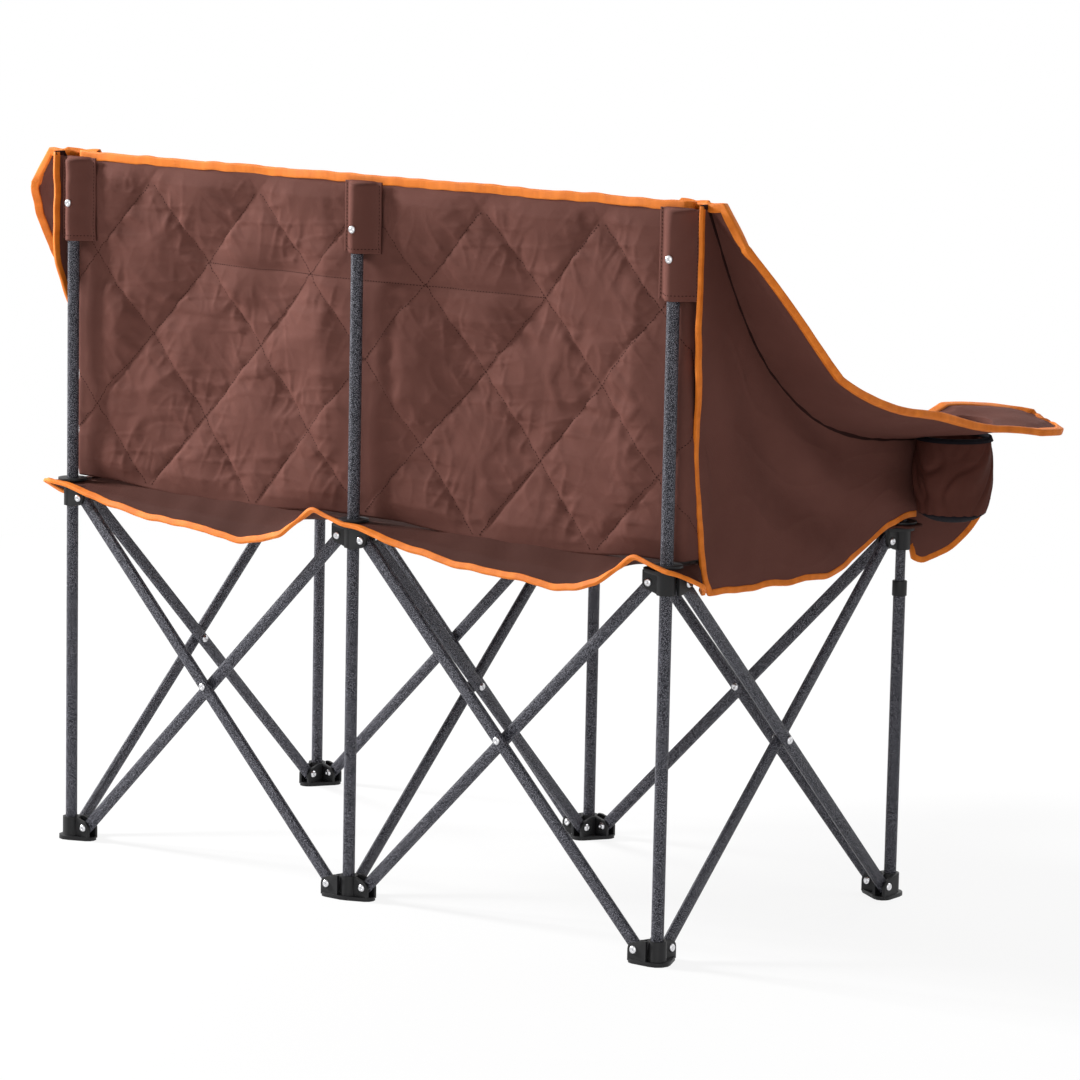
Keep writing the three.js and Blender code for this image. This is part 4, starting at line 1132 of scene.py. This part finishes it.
def make_crossing_rivets():
    middle_z = (PIVOT_RISE + HUB_PIVOT) / 2
    bays = {}
    for row, y in (("rear", HALF), ("front", -HALF)):
        for place, across in SIDES.items():
            bays[f"{row}_{place}"] = ((across * PITCH / 2, y), (0, 1, 0))
    for place, across in COLUMNS.items():
        bays[f"side_{place}"] = ((across * PITCH, 0), (1, 0, 0))
    for name, ((x, y), axis) in bays.items():
        heads = []
        for way in (1, -1):
            spot = Vector((x, CENTRE + y, middle_z)) + Vector(axis) * way * CROSSING_FACE
            heads.append(rivet_head("head", spot, Vector(axis) * way))
        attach(joined(f"rivets_crossing_{name}", heads), f"{name}_falling")


def finish_rigid_nodes():
    """Smooth shading and finishes for the tubes and mouldings, whose shapes come from the frame."""
    finishes = {"pole": STEEL, "leg": STEEL, "post": STEEL, "brace": STEEL}
    finishes.update({"foot": PLASTIC, "hub": PLASTIC, "collar": PLASTIC})
    for name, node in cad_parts.items():
        material = finishes.get(name.split("_")[0])
        if material is None:
            continue
        node.data.materials.clear()
        node.data.materials.append(material)
        node.data.polygons.foreach_set("use_smooth", [True] * len(node.data.polygons))
        if "custom_normal" in node.data.attributes:
            node.data.attributes.remove(node.data.attributes["custom_normal"])
        weld_step = node.modifiers.new("weld", "WELD")
        weld_step.merge_threshold = WELD
        if material is PLASTIC:
            soften = node.modifiers.new("bevel", "BEVEL")
            soften.width = MOULD_BEVEL
            soften.segments = 2
            soften.limit_method = "ANGLE"
            soften.angle_limit = math.radians(BEVEL_ANGLE)
        split = node.modifiers.new("split", "EDGE_SPLIT")
        split.split_angle = math.radians(SPLIT_ANGLE)


# Studio

def make_camera():
    a, e, r = (math.radians(v) for v in (CAMERA_AZIMUTH, CAMERA_PITCH, CAMERA_ROLL))
    back = Vector((math.sin(a) * math.cos(e), -math.cos(a) * math.cos(e), math.sin(e)))
    level = Vector((0, 0, 1)).cross(back).normalized()
    upright = back.cross(level)
    right = level * math.cos(r) + upright * math.sin(r)
    up = upright * math.cos(r) - level * math.sin(r)
    data = bpy.data.cameras.new("camera")
    data.sensor_width = SENSOR
    data.lens = FOCAL_PIXELS / PHOTO_PIXELS * SENSOR
    data.clip_end = CAMERA_FAR
    camera = placed("camera", data)
    turned = Matrix((right, up, back)).transposed().to_4x4()
    camera.matrix_world = Matrix.Translation(CAMERA) @ turned
    bpy.context.scene.camera = camera


def seen_directly(tree):
    """1 for camera, glossy and transmission rays."""
    path = tree.nodes.new("ShaderNodeLightPath")
    seen = path.outputs["Is Camera Ray"]
    for ray in ("Is Glossy Ray", "Is Transmission Ray"):
        seen = combine(tree, "MAXIMUM", seen, path.outputs[ray])
    return seen


def mix_shaders(tree, share, first, second, shown):
    node = tree.nodes.new("ShaderNodeMixShader")
    for socket, source in ((0, share), (1, first), (2, second)):
        tree.links.new(source, node.inputs[socket])
    tree.links.new(node.outputs["Shader"], shown.inputs["Surface"])


def make_studio():
    world = bpy.data.worlds.new("studio")
    bpy.context.scene.world = world
    world.use_nodes = True
    tree = world.node_tree
    soft = tree.nodes["Background"]
    soft.inputs["Color"].default_value = (1, 1, 1, 1)
    soft.inputs["Strength"].default_value = WORLD_LIGHT
    plain = tree.nodes.new("ShaderNodeBackground")
    plain.inputs["Strength"].default_value = 1.0
    plain.inputs["Color"].default_value = (1, 1, 1, 1)
    shown = tree.nodes["World Output"]
    mix_shaders(tree, seen_directly(tree), soft.outputs["Background"], plain.outputs["Background"], shown)

    corners = [(x * FLOOR_HALF, y * FLOOR_HALF, 0) for x, y in ((-1, -1), (1, -1), (1, 1), (-1, 1))]
    mesh_piece("floor", corners, [[0, 1, 2, 3]], white_floor())
    for name, (place, size, power) in LAMPS.items():
        lamp = bpy.data.lights.new(name, "AREA")
        lamp.size = size
        lamp.energy = power
        holder = placed(name, lamp)
        holder.location = place
        toward = LAMP_TARGET - Vector(place)
        holder.rotation_euler = toward.to_track_quat("-Z", "Y").to_euler()
    bpy.context.scene.view_settings.view_transform = "Standard"


def white_floor():
    """Pale floor that shows nearly white and keeps part of the object's shadow."""
    made, tree, shader = new_material("white_floor", (0.92, 0.92, 0.92), 0.9)
    glow = tree.nodes.new("ShaderNodeEmission")
    glow.inputs["Color"].default_value = (1, 1, 1, 1)
    glow.inputs["Strength"].default_value = 1.0
    far = tree.nodes.new("ShaderNodeVectorMath")
    far.operation = "LENGTH"
    tree.links.new(object_coordinates(tree), far.inputs[0])
    around = tree.nodes.new("ShaderNodeMapRange")
    tree.links.new(far.outputs["Value"], around.inputs["Value"])
    for socket, value in FLOOR_WHITE:
        around.inputs[socket].default_value = value
    share = combine(tree, "MULTIPLY", seen_directly(tree), around.outputs["Result"])
    shown = tree.nodes["Material Output"]
    mix_shaders(tree, share, shader.outputs["BSDF"], glow.outputs["Emission"], shown)
    return made


make_camera()
make_studio()
finish_rigid_nodes()
make_back()
make_seat("rear", 1, SKIRT_OUT, SKIRT_DROP, SKIRT_FALLS, TAB_OUT, "seat_rear_half")
make_seat("front", -1, LIP_OUT, LIP_DROP, LIP_FALLS, LIP_SIDE, "seat_front_half")
for cover in SIDES:
    make_arm(cover)
    make_side(cover)
    make_lining(cover)
    make_cup(cover)
for column in COLUMNS:
    make_sleeve(column)
make_pivot_rivets()
make_crossing_rivets()
